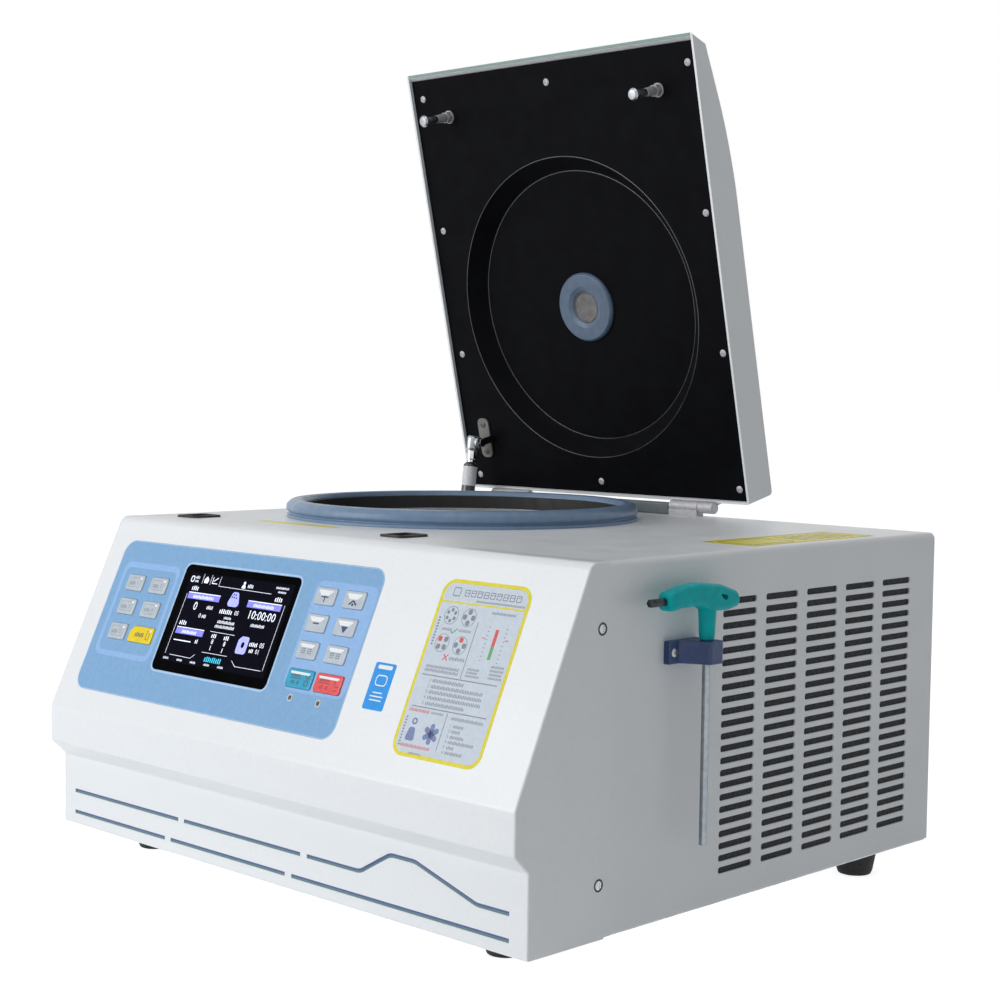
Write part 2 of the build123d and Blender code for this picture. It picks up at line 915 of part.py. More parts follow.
def make_compressor():
    bottom = floor_z + compressor_foot_height
    top = bottom + compressor_height
    neck = compressor_radius - compressor_shoulder
    profile = [
        (0, bottom),
        (compressor_radius, bottom),
        (compressor_radius, top - compressor_shoulder),
        (neck, top),
        (0, top),
    ]
    body = turned(profile)
    foot = compressor_radius - compressor_shoulder / 2
    bracket = trimmed_rectangle(2 * foot, 2 * foot, foot / 2)
    bracket_low = bottom - compressor_bracket
    body += along_z(bracket, bracket_low, bottom)
    for x in (-1, 1):
        for y in (-1, 1):
            place = Pos(x * foot * 0.6, y * foot * 0.6, 0)
            body += place * along_z(RegularPolygon(compressor_foot_radius, 6), floor_z, bracket_low)
    return Pos(compressor_x, compressor_y, 0) * body


condenser_x = (condenser_front_x, condenser_front_x + condenser_thickness)
fan_y = (condenser_start_y + condenser_end_y) / 2
fan_z = (condenser_bottom_z + condenser_top_z) / 2


def make_condenser():
    outside = block(
        condenser_x, (condenser_start_y, condenser_end_y), (condenser_bottom_z, condenser_top_z)
    )
    inside = block(
        (condenser_x[0] - 1, condenser_x[1] + 1),
        (condenser_start_y + condenser_frame, condenser_end_y - condenser_frame),
        (condenser_bottom_z + condenser_frame, condenser_top_z - condenser_frame),
    )
    frame = outside - inside
    pitch = (condenser_end_y - condenser_start_y) / (condenser_fin_count + 1)
    for number in range(1, condenser_fin_count + 1):
        y = condenser_start_y + number * pitch
        frame += block(
            condenser_x,
            (y - condenser_fin / 2, y + condenser_fin / 2),
            (condenser_bottom_z + condenser_frame / 2, condenser_top_z - condenser_frame / 2),
        )
    for y in (condenser_start_y, condenser_end_y - condenser_leg):
        frame += block(condenser_x, (y, y + condenser_leg), (floor_z, condenser_bottom_z))
    return frame


shroud_x = (condenser_front_x - shroud_gap - shroud_plate, condenser_front_x - shroud_gap)


def make_fan_shroud():
    """Plate and ring round the fan, with the fan motor on its arms."""
    plate = block(
        shroud_x, (condenser_start_y, condenser_end_y), (floor_z, condenser_top_z)
    )
    centre = Pos(fan_y, fan_z)
    ring_start = shroud_x[1] - shroud_depth
    outside = centre * RegularPolygon(shroud_radius + shroud_wall, ring_sides)
    inside = centre * RegularPolygon(shroud_radius, ring_sides)
    shroud = plate + along_x(outside, ring_start, shroud_x[1])
    shroud -= along_x(inside, ring_start - 1, shroud_x[1] + 1)
    reach = shroud_radius + shroud_wall / 2
    for number in range(fan_arm_count):
        arm = Pos(reach / 2, 0) * Rectangle(reach, fan_arm_width)
        arm = centre * Rot(0, 0, 90 + number * 360 / fan_arm_count) * arm
        shroud += along_x(arm, ring_start, ring_start + fan_arm_depth)
    motor_back = ring_start + fan_arm_depth - fan_motor_depth
    motor_front = ring_start + fan_arm_depth
    shroud += along_x(centre * Circle(fan_motor_radius), motor_back, motor_front)
    bore = centre * Circle(fan_shaft_radius + running_fit)
    shroud -= along_x(bore, motor_front - 2 * fan_shaft_radius, motor_front + 1)
    for y in (condenser_start_y, condenser_end_y - condenser_leg):
        shroud += block(
            (shroud_x[1], condenser_x[0]),
            (y, y + condenser_leg),
            (condenser_top_z - condenser_leg, condenser_top_z),
        )
    return shroud


def make_fan():
    ring_start = shroud_x[1] - shroud_depth
    start = ring_start + fan_arm_depth + fan_gap
    middle = start + fan_depth / 2
    centre = Pos(fan_y, fan_z)
    fan = along_x(centre * RegularPolygon(fan_hub_radius, 15), start, start + fan_depth)
    shaft = centre * Circle(fan_shaft_radius)
    fan += along_x(shaft, start - fan_gap - 1.8 * fan_shaft_radius, start)
    span = fan_radius - fan_hub_radius + 6
    blade = Pos(0, 0, fan_radius - span / 2) * Box(fan_blade_thickness, fan_blade_chord, span)
    blade = Rot(0, 0, fan_blade_pitch) * blade
    for number in range(fan_blade_count):
        turn = Rot(number * 360 / fan_blade_count, 0, 0)
        fan += Pos(middle, fan_y, fan_z) * turn * blade
    return fan


def pipe(points):
    """Pipe with mitred bends along straight runs."""
    path = Polyline(*points)
    start = Plane(origin=points[0], z_dir=path % 0)
    return sweep(start * RegularPolygon(pipe_radius, 8), path=path, transition=Transition.RIGHT)


def make_tubing():
    liquid_z, suction_z = pipe_heights()
    jacket_x = chamber_x + (jacket_inner + jacket_outer) / 2
    jacket = prism_ring(
        jacket_outer, jacket_inner, jacket_bottom_z, jacket_bottom_z + jacket_height
    )
    tubing = at_chamber(jacket)
    compressor_top = floor_z + compressor_foot_height + compressor_height
    behind_wall = bulkhead_x + sheet + pipe_gap
    front_of_compressor = compressor_y - compressor_radius - pipe_gap
    suction = [
        (jacket_x, chamber_y, suction_z),
        (behind_wall, chamber_y, suction_z),
        (behind_wall, compressor_y, suction_z),
        (compressor_x - suction_offset, compressor_y, suction_z),
        (compressor_x - suction_offset, compressor_y, compressor_top),
    ]
    condenser_mid = (condenser_x[0] + condenser_x[1]) / 2
    low_z = condenser_bottom_z + condenser_outlet_rise
    liquid = [
        (condenser_mid, condenser_start_y, low_z),
        (condenser_mid, front_of_compressor, low_z),
        (behind_wall, front_of_compressor, low_z),
        (behind_wall, chamber_y, low_z),
        (behind_wall, chamber_y, liquid_z),
        (jacket_x, chamber_y, liquid_z),
    ]
    high_z = condenser_top_z - condenser_inlet_drop
    discharge = [
        (compressor_x + discharge_offset, compressor_y, compressor_top),
        (compressor_x + discharge_offset, compressor_y, high_z),
        (condenser_mid, compressor_y, high_z),
        (condenser_mid, condenser_start_y, high_z),
    ]
    return tubing + pipe(suction) + pipe(liquid) + pipe(discharge)


def make_inverter():
    x, y, z = inverter_x, inverter_y, inverter_z
    case = block(x, y, (floor_z, z[1]))
    pitch = (x[1] - x[0]) / inverter_rib_count
    for number in range(inverter_rib_count):
        rib_x = x[0] + (number + 0.5) * pitch
        case += block(
            (rib_x - inverter_rib / 2, rib_x + inverter_rib / 2),
            (y[0] - 2 * inverter_rib, y[0]),
            z,
        )
    return case


socket_z = inlet_z - socket_drop
rocker_z = inlet_z + rocker_rise
inlet_face_y = rear_y + inlet_flange


def make_inlet():
    centre = Pos(inlet_x, inlet_z)
    flange = centre * trimmed_rectangle(inlet_width, inlet_height, inlet_overlap)
    body = centre * Rectangle(inlet_width - 2 * inlet_overlap, inlet_height - 2 * inlet_overlap)
    module = along_y(flange, rear_y, inlet_face_y)
    module += along_y(body, rear_y - inlet_body_depth, rear_y)
    socket = Rectangle(socket_width, socket_height)
    upper = socket.vertices().group_by(Axis.Y)[-1]
    socket = Pos(inlet_x, socket_z) * chamfer(upper, socket_chamfer)
    module -= along_y(socket, inlet_face_y - socket_depth, inlet_face_y + 1)
    for across, up in socket_pins:
        pin = Rectangle(socket_pin_width, socket_pin_height)
        pin = Pos(inlet_x + across, socket_z + up) * pin
        module += along_y(pin, inlet_face_y - socket_depth, inlet_face_y - 3)
    well = Rectangle(rocker_width + 2 * rocker_fit, rocker_height + 2 * rocker_swing_gap)
    well = Pos(inlet_x, rocker_z) * well
    module -= along_y(well, inlet_face_y - rocker_well_depth, inlet_face_y + 1)
    half = rocker_width / 2 + 2
    bore = Pos(rocker_pivot_y, rocker_z) * Circle(rocker_pivot_radius + running_fit)
    return module - along_x(bore, inlet_x - half, inlet_x + half)


rocker_pivot_y = inlet_face_y - rocker_thickness


def make_rocker():
    """Rocker with a shallow V face, resting on its lower side."""
    half = rocker_height / 2
    dip = half * math.tan(math.radians(rocker_half_angle))
    points = [
        (0, 0),
        (-half, dip),
        (-half, -rocker_thickness + rocker_edge),
        (0, -rocker_thickness - rocker_keel),
        (half, -rocker_thickness + rocker_edge),
        (half, dip),
    ]
    face = outline([(out, z) for z, out in points])
    rocker = along_x(face, -rocker_width / 2, rocker_width / 2)
    pin = Pos(-rocker_thickness, 0) * RegularPolygon(rocker_pivot_radius, 8)
    reach = rocker_width / 2 + rocker_pivot_reach
    rocker += along_x(pin, -reach, reach)
    rocker = Rot(rocker_half_angle, 0, 0) * (Pos(0, rocker_thickness, 0) * rocker)
    return Pos(inlet_x, rocker_pivot_y, rocker_z) * rocker


# Lid pieces, drawn closed and then opened


def lid_solid(inset, front_inset, round_radius):
    """Outside of the lid, or its hollow when inset by the wall."""
    top = at_w(lid_height - inset)
    nose_drop = inset
    points = [
        (at_v(inset), at_w(0)),
        (at_v(inset), top),
        (at_v(lid_flat_length - inset / 2), top),
        (at_v(lid_nose_start - front_inset / 2), at_w(lid_nose_height - nose_drop)),
        (at_v(lid_front_drop - front_inset), at_w(lid_front_height - nose_drop)),
        (at_v(lid_length - front_inset), at_w(0)),
    ]
    rounds = {1: round_radius, 2: 3 * round_radius, 3: round_radius, 4: round_radius}
    return along_x(outline(points, rounds), lid_left + inset, lid_right - inset)


def lid_side_edges(solid):
    """Edges where the lid's sides meet its top, nose and rear."""
    ends = solid.faces().sort_by(Axis.X)
    edges = ends[0].edges() + ends[-1].edges()
    return [edge for edge in edges if edge.center().Z > rim_z + 1e-3]


def make_lid_shell():
    shell = lid_solid(0, 0, lid_edge_round)
    shell = fillet(lid_side_edges(shell), lid_corner_round)
    hollow = lid_solid(lid_wall, lid_front_wall, lid_edge_round - lid_wall)
    shell -= hollow
    shell -= at_chamber(along_z(Circle(hub_hole), at_w(lid_height / 2), at_w(lid_height + 1)))
    notch = Pos(hinge_y, hinge_z) * Circle(rim_notch_radius)
    for start, end in knuckle_spans():
        shell -= along_x(notch, start - 0.5, end + 0.5)
    return open_lid * shell


def knuckle_spans():
    """X ranges of both hinges, each with its fixed and its lid knuckle."""
    inner = knuckle_offset
    outer = knuckle_offset + fixed_knuckle + lid_knuckle
    return ((chamber_x + inner, chamber_x + outer), (chamber_x - outer, chamber_x - inner))


def liner_outline():
    side = lid_width / 2 - lid_wall
    wall_lean = (lid_length - lid_front_drop) / (lid_front_height - lid_wall)
    front_v = lid_length - lid_front_wall - wall_lean * (liner_depth + liner_thickness) - liner_fit
    rear = at_v(lid_wall)
    front = at_v(front_v)
    middle = (rear + front) / 2
    return Pos(chamber_x, middle) * Rectangle(2 * side, rear - front)


def make_lid_liner():
    low = at_w(liner_depth)
    high = low + liner_thickness
    plate = along_z(liner_outline(), low, high)
    plate -= at_chamber(along_z(Circle(dish_radius - 1), low - 1, high + 1))
    floor = low + dish_depth
    profile = [
        (dish_radius, low),
        (dish_floor_radius, floor),
        (hub_hole, floor),
        (hub_hole, floor + liner_thickness),
        (dish_floor_radius + liner_thickness, floor + liner_thickness),
        (dish_radius + liner_thickness, high),
        (dish_radius + 2 * liner_thickness, high),
        (dish_radius + 2 * liner_thickness, low),
    ]
    liner = plate + at_chamber(turned(profile))
    notch = Pos(hinge_y, hinge_z) * Circle(rim_notch_radius + 4)
    for start, end in knuckle_spans():
        liner -= along_x(notch, start - 0.5, end + 0.5)
    return open_lid * liner


hub_top = at_w(liner_depth + dish_depth)


def make_hub_ring():
    low = hub_top - hub_height
    ring = Circle(hub_radius) - Circle(hub_hole)
    return open_lid * at_chamber(along_z(ring, low, hub_top))


def make_lid_window():
    plug = RegularPolygon(hub_hole - window_fit, 32)
    return open_lid * at_chamber(along_z(plug, hub_top - hub_height / 2, at_w(lid_height)))


def make_strikers():
    low = at_w(liner_depth)
    strikers = []
    for x in latch_xs:
        end = low - striker_length
        hex_top = low - striker_washer_height
        hex_low = hex_top - striker_hex_height
        head_top = end + striker_head_height
        striker = along_z(RegularPolygon(striker_head, 16), end, head_top)
        striker += along_z(RegularPolygon(striker_stem, 12), head_top, hex_low)
        striker += along_z(RegularPolygon(striker_hex / math.sqrt(3), 6), hex_low, hex_top)
        striker += along_z(RegularPolygon(striker_washer, 16), hex_top, low)
        strikers.append(open_lid * (Pos(x, latch_y, 0) * striker))
    return strikers


def make_liner_screws():
    low = at_w(liner_depth)
    screws = []
    for v in liner_screws_v:
        row = liner_screws_u
        if v in liner_screws_v[1:3]:
            row = (liner_screws_u[0], liner_screws_u[2])
        for u in row:
            head = along_z(RegularPolygon(liner_screw_radius, 6), low - liner_screw_height, low)
            screws.append(open_lid * (Pos(lid_left + u, at_v(v), 0) * head))
    return screws


def barrel(start, end):
    return along_x(Pos(hinge_y, hinge_z) * Circle(barrel_radius), start, end)


def hinge_spans(side):
    """X ranges of the fixed and the lid knuckle on one side, low value first."""
    inner = chamber_x + side * knuckle_offset
    joint = inner + side * fixed_knuckle
    outer = joint + side * lid_knuckle
    return sorted((inner, joint)), sorted((joint + side * knuckle_gap, outer))


def make_hinge_brackets():
    """Fixed knuckles on the deck and the strut's foot bracket on the cabinet's left wall."""
    pieces = []
    for side in (-1, 1):
        fixed, _ = hinge_spans(side)
        knuckle = barrel(*fixed)
        half_web = hinge_web / 2
        knuckle += block(fixed, (hinge_y - half_web, hinge_y + half_web), (deck_z, hinge_z))
        bore = Pos(hinge_y, hinge_z) * Circle(hinge_pin_radius + running_fit)
        pieces.append(knuckle - along_x(bore, fixed[0] - 1, fixed[1] + 1))
    wall_x = -half_width + sheet
    arm_end = strut_x - strut_eye_width / 2 - 0.3
    length, above, below = strut_foot_plate
    foot_y = (strut_foot_y - length / 2, strut_foot_y + length / 2)
    foot_z = (strut_foot_z - below, strut_foot_z + above)
    bracket = block((wall_x, wall_x + 2 * sheet), foot_y, foot_z)
    arm = Pos(strut_foot_y, strut_foot_z) * RegularPolygon(strut_eye_radius, 12)
    pieces.append(bracket + along_x(arm, wall_x, arm_end))
    return pieces


def make_lid_brackets():
    """Lid knuckles with their leaves and pins, and the strut's bracket with its stud."""
    pieces = []
    for side in (-1, 1):
        fixed, moving = hinge_spans(side)
        hinge = barrel(*moving)
        hinge += block(
            moving, (lid_rear_y, lid_rear_y + hinge_leaf), (hinge_z, at_w(hinge_leaf_height))
        )
        pin_ends = (min(fixed[0], moving[0]), max(fixed[1], moving[1]))
        hinge += along_x(Pos(hinge_y, hinge_z) * RegularPolygon(hinge_pin_radius, 12), *pin_ends)
        pieces.append(open_lid * hinge)
    low = at_w(liner_depth - strut_plate_thickness)
    high = at_w(liner_depth)
    plate_y = (at_v(strut_plate_v[1]), at_v(strut_plate_v[0]))
    flange_x = strut_x + strut_end_width / 2 + strut_flange_gap
    flange_y = (at_v(strut_flange_v[1]), at_v(strut_flange_v[0]))
    bracket = block(strut_plate_x, plate_y, (low, high))
    bracket += block(
        (flange_x, flange_x + strut_plate_thickness), flange_y, (at_w(strut_flange_low_w), high)
    )
    stud = Pos(at_v(strut_lid_v), at_w(strut_lid_w)) * RegularPolygon(strut_stud_radius, 12)
    bracket += along_x(stud, flange_x - strut_stud_length, flange_x)
    pieces.append(open_lid * bracket)
    return pieces


def open_stud():
    """Y and Z of the strut's stud with the lid open."""
    angle = math.radians(-lid_opening)
    y = at_v(strut_lid_v) - hinge_y
    z = at_w(strut_lid_w) - hinge_z
    turned_y = y * math.cos(angle) - z * math.sin(angle)
    turned_z = y * math.sin(angle) + z * math.cos(angle)
    return hinge_y + turned_y, hinge_z + turned_z


def strut_frame():
    """Plane on the strut's lower end with Z along the strut."""
    stud_y, stud_z = open_stud()
    return Plane(
        origin=(strut_x, strut_foot_y, strut_foot_z),
        x_dir=(1, 0, 0),
        z_dir=(0, stud_y - strut_foot_y, stud_z - strut_foot_z),
    )


def strut_length():
    stud_y, stud_z = open_stud()
    return math.hypot(stud_y - strut_foot_y, stud_z - strut_foot_z)


def make_strut_cylinder():
    top = strut_length()
    end_top = top + strut_end_above
    end_low = top - strut_end_below
    collar_low = end_low - strut_collar_length
    tube_low = collar_low - strut_tube_length
    body = along_z(RegularPolygon(strut_end_radius, 8), end_low, end_top)
    body += along_z(RegularPolygon(strut_collar_radius, 12), collar_low, end_low)
    body += along_z(Circle(strut_tube_radius), tube_low, collar_low)
    stud = Pos(0, top) * Circle(strut_stud_radius + running_fit)
    body -= along_x(stud, -strut_end_width, strut_end_width)
    bore = Circle(strut_rod_radius + strut_rod_fit)
    body -= along_z(bore, tube_low - 1, top - strut_bore_start)
    return strut_frame().location * body


def make_strut_rod():
    rod = along_z(Circle(strut_rod_radius), 0, strut_rod_length)
    half = strut_eye_width / 2
    rod += along_x(RegularPolygon(strut_eye_radius, 12), -half, half)
    return strut_frame().location * rod


def make_hinge_rail():
    ends = (chamber_x - knuckle_offset, chamber_x + knuckle_offset)
    half_web = hinge_web / 2
    middle = hinge_y - 1
    return block(ends, (middle - half_web, middle + half_web), (deck_z, deck_z + rail_height))


# Lid lock


def make_latch_inserts():
    pieces = []
    sleeve_x = latch_opening[0] + 2 * latch_sleeve
    sleeve_y = latch_opening[1] + 2 * latch_sleeve
    for x in latch_xs:
        rim = trimmed_rectangle(*latch_rim, latch_corner + 2)
        insert = along_z(rim, deck_z, deck_z + latch_rim_height)
        sleeve = trimmed_rectangle(sleeve_x, sleeve_y, latch_corner)
        insert += along_z(sleeve, deck_z - latch_sleeve_depth, deck_z)
        insert -= along_z(Rectangle(*latch_opening), deck_z - latch_sleeve_depth - 1, deck_z + 2)
        pieces.append(Pos(x, latch_y, 0) * insert)
    return pieces


def make_lock_housings():
    top = deck_under
    bottom = top - housing_height
    pieces = []
    window_y = (-slide_width / 2 - slide_fit, slide_width / 2 + slide_fit)
    window_z = (slide_z - slide_fit, slide_z + slide_thickness + slide_fit)
    sleeve_x = latch_opening[0] + 2 * latch_sleeve
    sleeve_y = latch_opening[1] + 2 * latch_sleeve
    for x in latch_xs:
        half_x = housing_width / 2
        half_y = housing_depth / 2
        case = block((-half_x, half_x), (-half_y, half_y), (bottom, top))
        case -= block(
            (-half_x + housing_wall, half_x - housing_wall),
            (-half_y + housing_wall, half_y - housing_wall),
            (bottom + housing_wall, top - housing_wall),
        )
        case -= block((-half_x - 1, half_x + 1), window_y, window_z)
        sleeve = trimmed_rectangle(sleeve_x, sleeve_y, latch_corner)
        case -= along_z(sleeve, top - 2 * housing_wall, top + 1)
        pieces.append(Pos(x, latch_y, 0) * case)
    half_x = actuator_width / 2
    rear = latch_y + slide_width / 2 + slide_fit
    actuator = block(
        (chamber_x - half_x, chamber_x + half_x),
        (latch_y - slide_width / 2, rear + actuator_hanger),
        (bottom, slide_z - slide_fit),
    )
    actuator += block(
        (chamber_x - half_x, chamber_x + half_x), (rear, rear + actuator_hanger), (bottom, top)
    )
    pieces.append(actuator)
    return pieces


def make_lock_slide():
    half = slide_length / 2
    bar = Rectangle(slide_length, slide_width)
    for x in (-latch_spacing / 2, latch_spacing / 2):
        bar -= Pos(x, 0) * RegularPolygon(keyhole_radius, 16)
        slot_end = x - slide_travel - keyhole_slot
        middle = (x + slot_end) / 2
        bar -= Pos(middle, 0) * Rectangle(x - slot_end, 2 * keyhole_slot)
    bar = along_z(bar, slide_z, slide_z + slide_thickness)
    return Pos(chamber_x, latch_y, 0) * bar


# Hexagon key


blade_x = half_width + key_blade_x


def make_key_bracket():
    z = (bracket_bottom_z, bracket_top_z)
    front, back = bracket_flange_y
    side = half_width
    reach = side + bracket_reach
    block_front, block_back = bracket_block_y
    points = [
        (side, front),
        (side + bracket_flange_thickness, front),
        (side + bracket_flange_thickness, block_front - bracket_rib[0]),
        (reach - bracket_rib[1], block_front),
        (reach, block_front + bracket_rib[2]),
        (reach, block_back),
        (side, block_back),
    ]
    bracket = along_z(outline(points), *z)
    hole = Pos(blade_x, key_blade_y) * RegularPolygon(bracket_hole, 12)
    return bracket - along_z(hole, z[0] - 1, z[1] + 1)


def make_key_blade():
    section = RegularPolygon(hex_across_flats / math.sqrt(3), 6)
    half = hex_across_flats / 2
    shank = Pos(blade_x, key_blade_y, 0) * along_z(section, blade_tip_z, short_arm_z + half)
    arm = along_y(Pos(blade_x, short_arm_z) * section, short_arm_y, key_blade_y)
    return shank + arm


def make_key_handle():
    length = handle_back_y - handle_front_y
    height = handle_top_z - handle_low_z

    def at(along, up):
        """Point on the handle's side, by shares of its length and height."""
        return (handle_front_y + along * length, handle_low_z + up * height)

    lower = [at(0, 0.04), at(-0.02, 0.58), at(0.24, 0.86)]
    upper = [at(0.53, 1), at(0.84, 0.88), at(1, 0.58)]
    under = [at(0.98, 0.2), at(0.82, 0.1), at(0.45, 0.2)]
    points = lower + upper + under
    rounds = {0: handle_corner, 1: handle_corner, 5: handle_back_corner, 6: handle_corner}
    profile = outline(points, rounds)
    half = handle_thickness / 2
    grip = along_x(profile, blade_x - half, blade_x + half)
    sides = grip.faces().sort_by(Axis.X)
    grip = chamfer(sides[0].edges() + sides[-1].edges(), handle_edge_round / 1.5)
    neck_low = bracket_top_z + neck_clearance
    neck_high = handle_low_z + neck_overlap
    flare = math.degrees(math.atan((neck_top_radius - neck_bottom_radius) / (neck_high - neck_low)))
    neck = extrude(RegularPolygon(neck_bottom_radius, 12), neck_high - neck_low, taper=-flare)
    grip += Pos(blade_x, key_blade_y, neck_low) * neck
    eyelet = Pos(eyelet_y, eyelet_z) * RegularPolygon(eyelet_radius, 12)
    grip -= along_x(eyelet, blade_x - half - 1, blade_x + half + 1)
    return grip - make_key_blade()


def save(name, pieces):
    """Writes one node; a list of pieces is kept as separate solids."""
    if not isinstance(pieces, list):
        pieces = [pieces]
    solids = [solid for piece in pieces for solid in piece.solids()]
    shape = solids[0] if len(solids) == 1 else Compound(solids)
    export_step(shape, f"parts/{name}.step")


nodes = {
    "chassis": make_chassis(),
    "cover": make_cover(),
    "front_fascia": make_fascia(),
    "rear_panel": make_rear_panel(),
    "feet": make_feet(),
    "bowl": make_bowl(),
    "bowl_insulation": make_insulation(),
    "armour_ring": make_armour(),
    "seal_ring": make_seal(),
    "drive_motor": make_motor(),
    "motor_rubbers": make_motor_rubbers(),
    "compressor": make_compressor(),
    "condenser": make_condenser(),
    "fan_shroud": make_fan_shroud(),
    "refrigerant_tubing": make_tubing(),
    "motor_inverter": make_inverter(),
    "inlet_module": make_inlet(),
    "control_board": make_control_board(),
    "display_module": make_display(),
    "panel_overlay": make_overlay(),
    "latch_inserts": make_latch_inserts(),
    "lock_housings": make_lock_housings(),
    "hinge_rail": make_hinge_rail(),
    "hinge_brackets": make_hinge_brackets(),
    "key_bracket": make_key_bracket(),
    "lid_shell": make_lid_shell(),
    "lid_liner": make_lid_liner(),
    "hub_ring": make_hub_ring(),
    "lid_window": make_lid_window(),
    "lock_strikers": make_strikers(),
    "liner_screws": make_liner_screws(),
    "lid_brackets": make_lid_brackets(),
    "strut_cylinder": make_strut_cylinder(),
    "strut_rod": make_strut_rod(),
    "drive_shaft": make_shaft(),
    "rotor_head": make_rotor_head(),
    "rotor_nut": make_rotor_nut(),
    "fan_blades": make_fan(),
    "lock_slide": make_lock_slide(),
    "power_rocker": make_rocker(),
    "hex_key_blade": make_key_blade(),
    "hex_key_handle": make_key_handle(),
}
for number in range(bucket_count):
    nodes[f"bucket_{number + 1}"] = make_bucket(number)
for name, x, s, width, height, notch in key_list():
    nodes[name] = make_key(width, height, notch, x, s)

for name, pieces in nodes.items():
    save(name, pieces)
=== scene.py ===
import math

import bmesh
import bpy
from mathutils import Matrix, Vector


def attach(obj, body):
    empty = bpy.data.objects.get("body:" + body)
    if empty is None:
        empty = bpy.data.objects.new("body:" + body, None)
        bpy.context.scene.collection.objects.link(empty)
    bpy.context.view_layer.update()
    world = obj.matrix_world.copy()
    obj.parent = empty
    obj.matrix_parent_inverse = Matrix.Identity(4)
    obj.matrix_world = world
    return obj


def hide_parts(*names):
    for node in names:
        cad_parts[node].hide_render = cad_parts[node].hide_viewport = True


bl_info = {
    "name": "Refrigerated bench centrifuge",
    "version": (1, 0, 0),
    "blender": (4, 5, 0),
    "location": "3D View > Sidebar > Centrifuge",
    "description": "Dresses the centrifuge with its panels, lid, fittings and finishes",
    "category": "Object",
}

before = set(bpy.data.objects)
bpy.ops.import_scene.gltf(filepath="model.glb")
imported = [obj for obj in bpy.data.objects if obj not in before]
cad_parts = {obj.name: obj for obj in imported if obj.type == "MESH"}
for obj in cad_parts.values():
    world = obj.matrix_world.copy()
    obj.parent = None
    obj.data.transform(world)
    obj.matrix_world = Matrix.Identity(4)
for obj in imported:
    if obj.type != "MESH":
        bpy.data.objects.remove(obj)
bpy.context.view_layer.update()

# Lengths below are millimetres in the part's frame; finished meshes are scaled to metres.
METRE = 0.001

# Cabinet
HALF_WIDTH = 310.0
FRONT_Y = -285.0
SEAM_Y = -184.0
REAR_Y = 285.0
BASE_Z = 21.0
FLOOR_Z = 23.0
DECK_Z = 315.0
SHEET = 1.5
BEND = 6.0
LOWER_FACE_Y = -269.5
CHAMBER = (-105.0, 67.0)
BUCKET_REACH = 95.0
BUCKET_PIN_Z = 225.0
LATCH_XS = (-253.5, 43.5)
LATCH_Y = -151.5
LATCH_MOUTH = (22.0, 27.0, 1.5)
LATCH_OPENING = (27.0, 32.0, 3.0)
COVER_SCREW_Y = -191.0
COVER_SCREW_ZS = (263.3, 64.2)
INLET = (-230.0, 80.0)
FEET = ((285.0, 201.0), (235.0, -215.0))

# Ventilation slots in the right side, with Y and Z of their middle
VENT_COLUMNS = 5
VENT_ROWS = 23
VENT_CENTRE = (101.6, 160.85)
VENT_COLUMN_PITCH = 59.4
VENT_ROW_PITCH = 10.2
VENT_LENGTH = 46.2
VENT_HEIGHT = 5.6

# The slope that carries the control panel: x across, y up the slope, z outwards
SLOPE_RUN = 81.5
NOSE_TOP = 136.0
SLOPE_RISE = DECK_Z - NOSE_TOP
SLOPE_LENGTH = math.hypot(SLOPE_RUN, SLOPE_RISE)
UP_Y = SLOPE_RUN / SLOPE_LENGTH
UP_Z = SLOPE_RISE / SLOPE_LENGTH
PANEL_CENTRE = (-95.5, 97.5)
DISPLAY_CENTRE = (-93.5, 104.5)
CARD_CENTRE = (211.5, 97.3)
SLOPE = Matrix(((1, 0, 0, 0), (0, UP_Y, -UP_Z, FRONT_Y), (0, UP_Z, UP_Y, NOSE_TOP), (0, 0, 0, 1)))

# The lid is drawn closed, with v forwards from its rear wall and w up from its rim
HINGE_Y = 277.0
HINGE_Z = 324.5
LID_REAR_Y = 272.6
RIM_Z = 328.3
LID_LEFT = -307.0
LID_RIGHT = 97.0
LID_LENGTH = 474.5
LID_HEIGHT = 42.0
LID_FRONT_WALL = 2.8
LID_BEVEL = (462.0, 20.4)
LINER_W = 4.0
STRUT_X = -274.0
STRUT_FOOT = (220.0, 138.0)
STRUT_EYE_Y = LID_REAR_Y - 59.0
STRUT_EYE_Z = RIM_Z - 17.0
DISH_DEPTH = 17.0
LID_OPENING = math.radians(76.75)
OPEN_LID = (
    Matrix.Translation((0, HINGE_Y, HINGE_Z))
    @ Matrix.Rotation(-LID_OPENING, 4, "X")
    @ Matrix.Translation((0, -HINGE_Y, -HINGE_Z))
)
# In the lid's own view from inside: x across, y along v, z out of the liner's face
LINER_FACE = OPEN_LID @ Matrix(((1, 0, 0, 0), (0, -1, 0, LID_REAR_Y), (0, 0, -1, RIM_Z + LINER_W), (0, 0, 0, 1)))

# Drawing planes: a profile in Y and Z carried along X, one in X and Z carried along Y
ALONG_X = Matrix(((0, 0, 1, 0), (1, 0, 0, 0), (0, 1, 0, 0), (0, 0, 0, 1)))
ALONG_Y = Matrix(((1, 0, 0, 0), (0, 0, -1, 0), (0, 1, 0, 0), (0, 0, 0, 1)))

PRINT = 0.08  # ink and vinyl stand this far out
SHARP_EDGE = 60.0  # edges that turn by more degrees than this are rounded

# Colours read off the object

PAINT = "#E9EDF0"
PAINT_SHADE = "#E5E9ED"
LINER_COLOUR = "#101114"
SCREEN_COLOUR = "#030304"
GRIP_COLOUR = "#00AEB2"


def linear(text):
    """sRGB hex to linear red, green, blue and alpha."""
    parts = [int(text[i:i + 2], 16) / 255 for i in (1, 3, 5)]
    return tuple(c / 12.92 if c <= 0.04045 else ((c + 0.055) / 1.055) ** 2.4 for c in parts) + (1.0,)


# Finishes, by the names that the pieces use
FINISH = {}


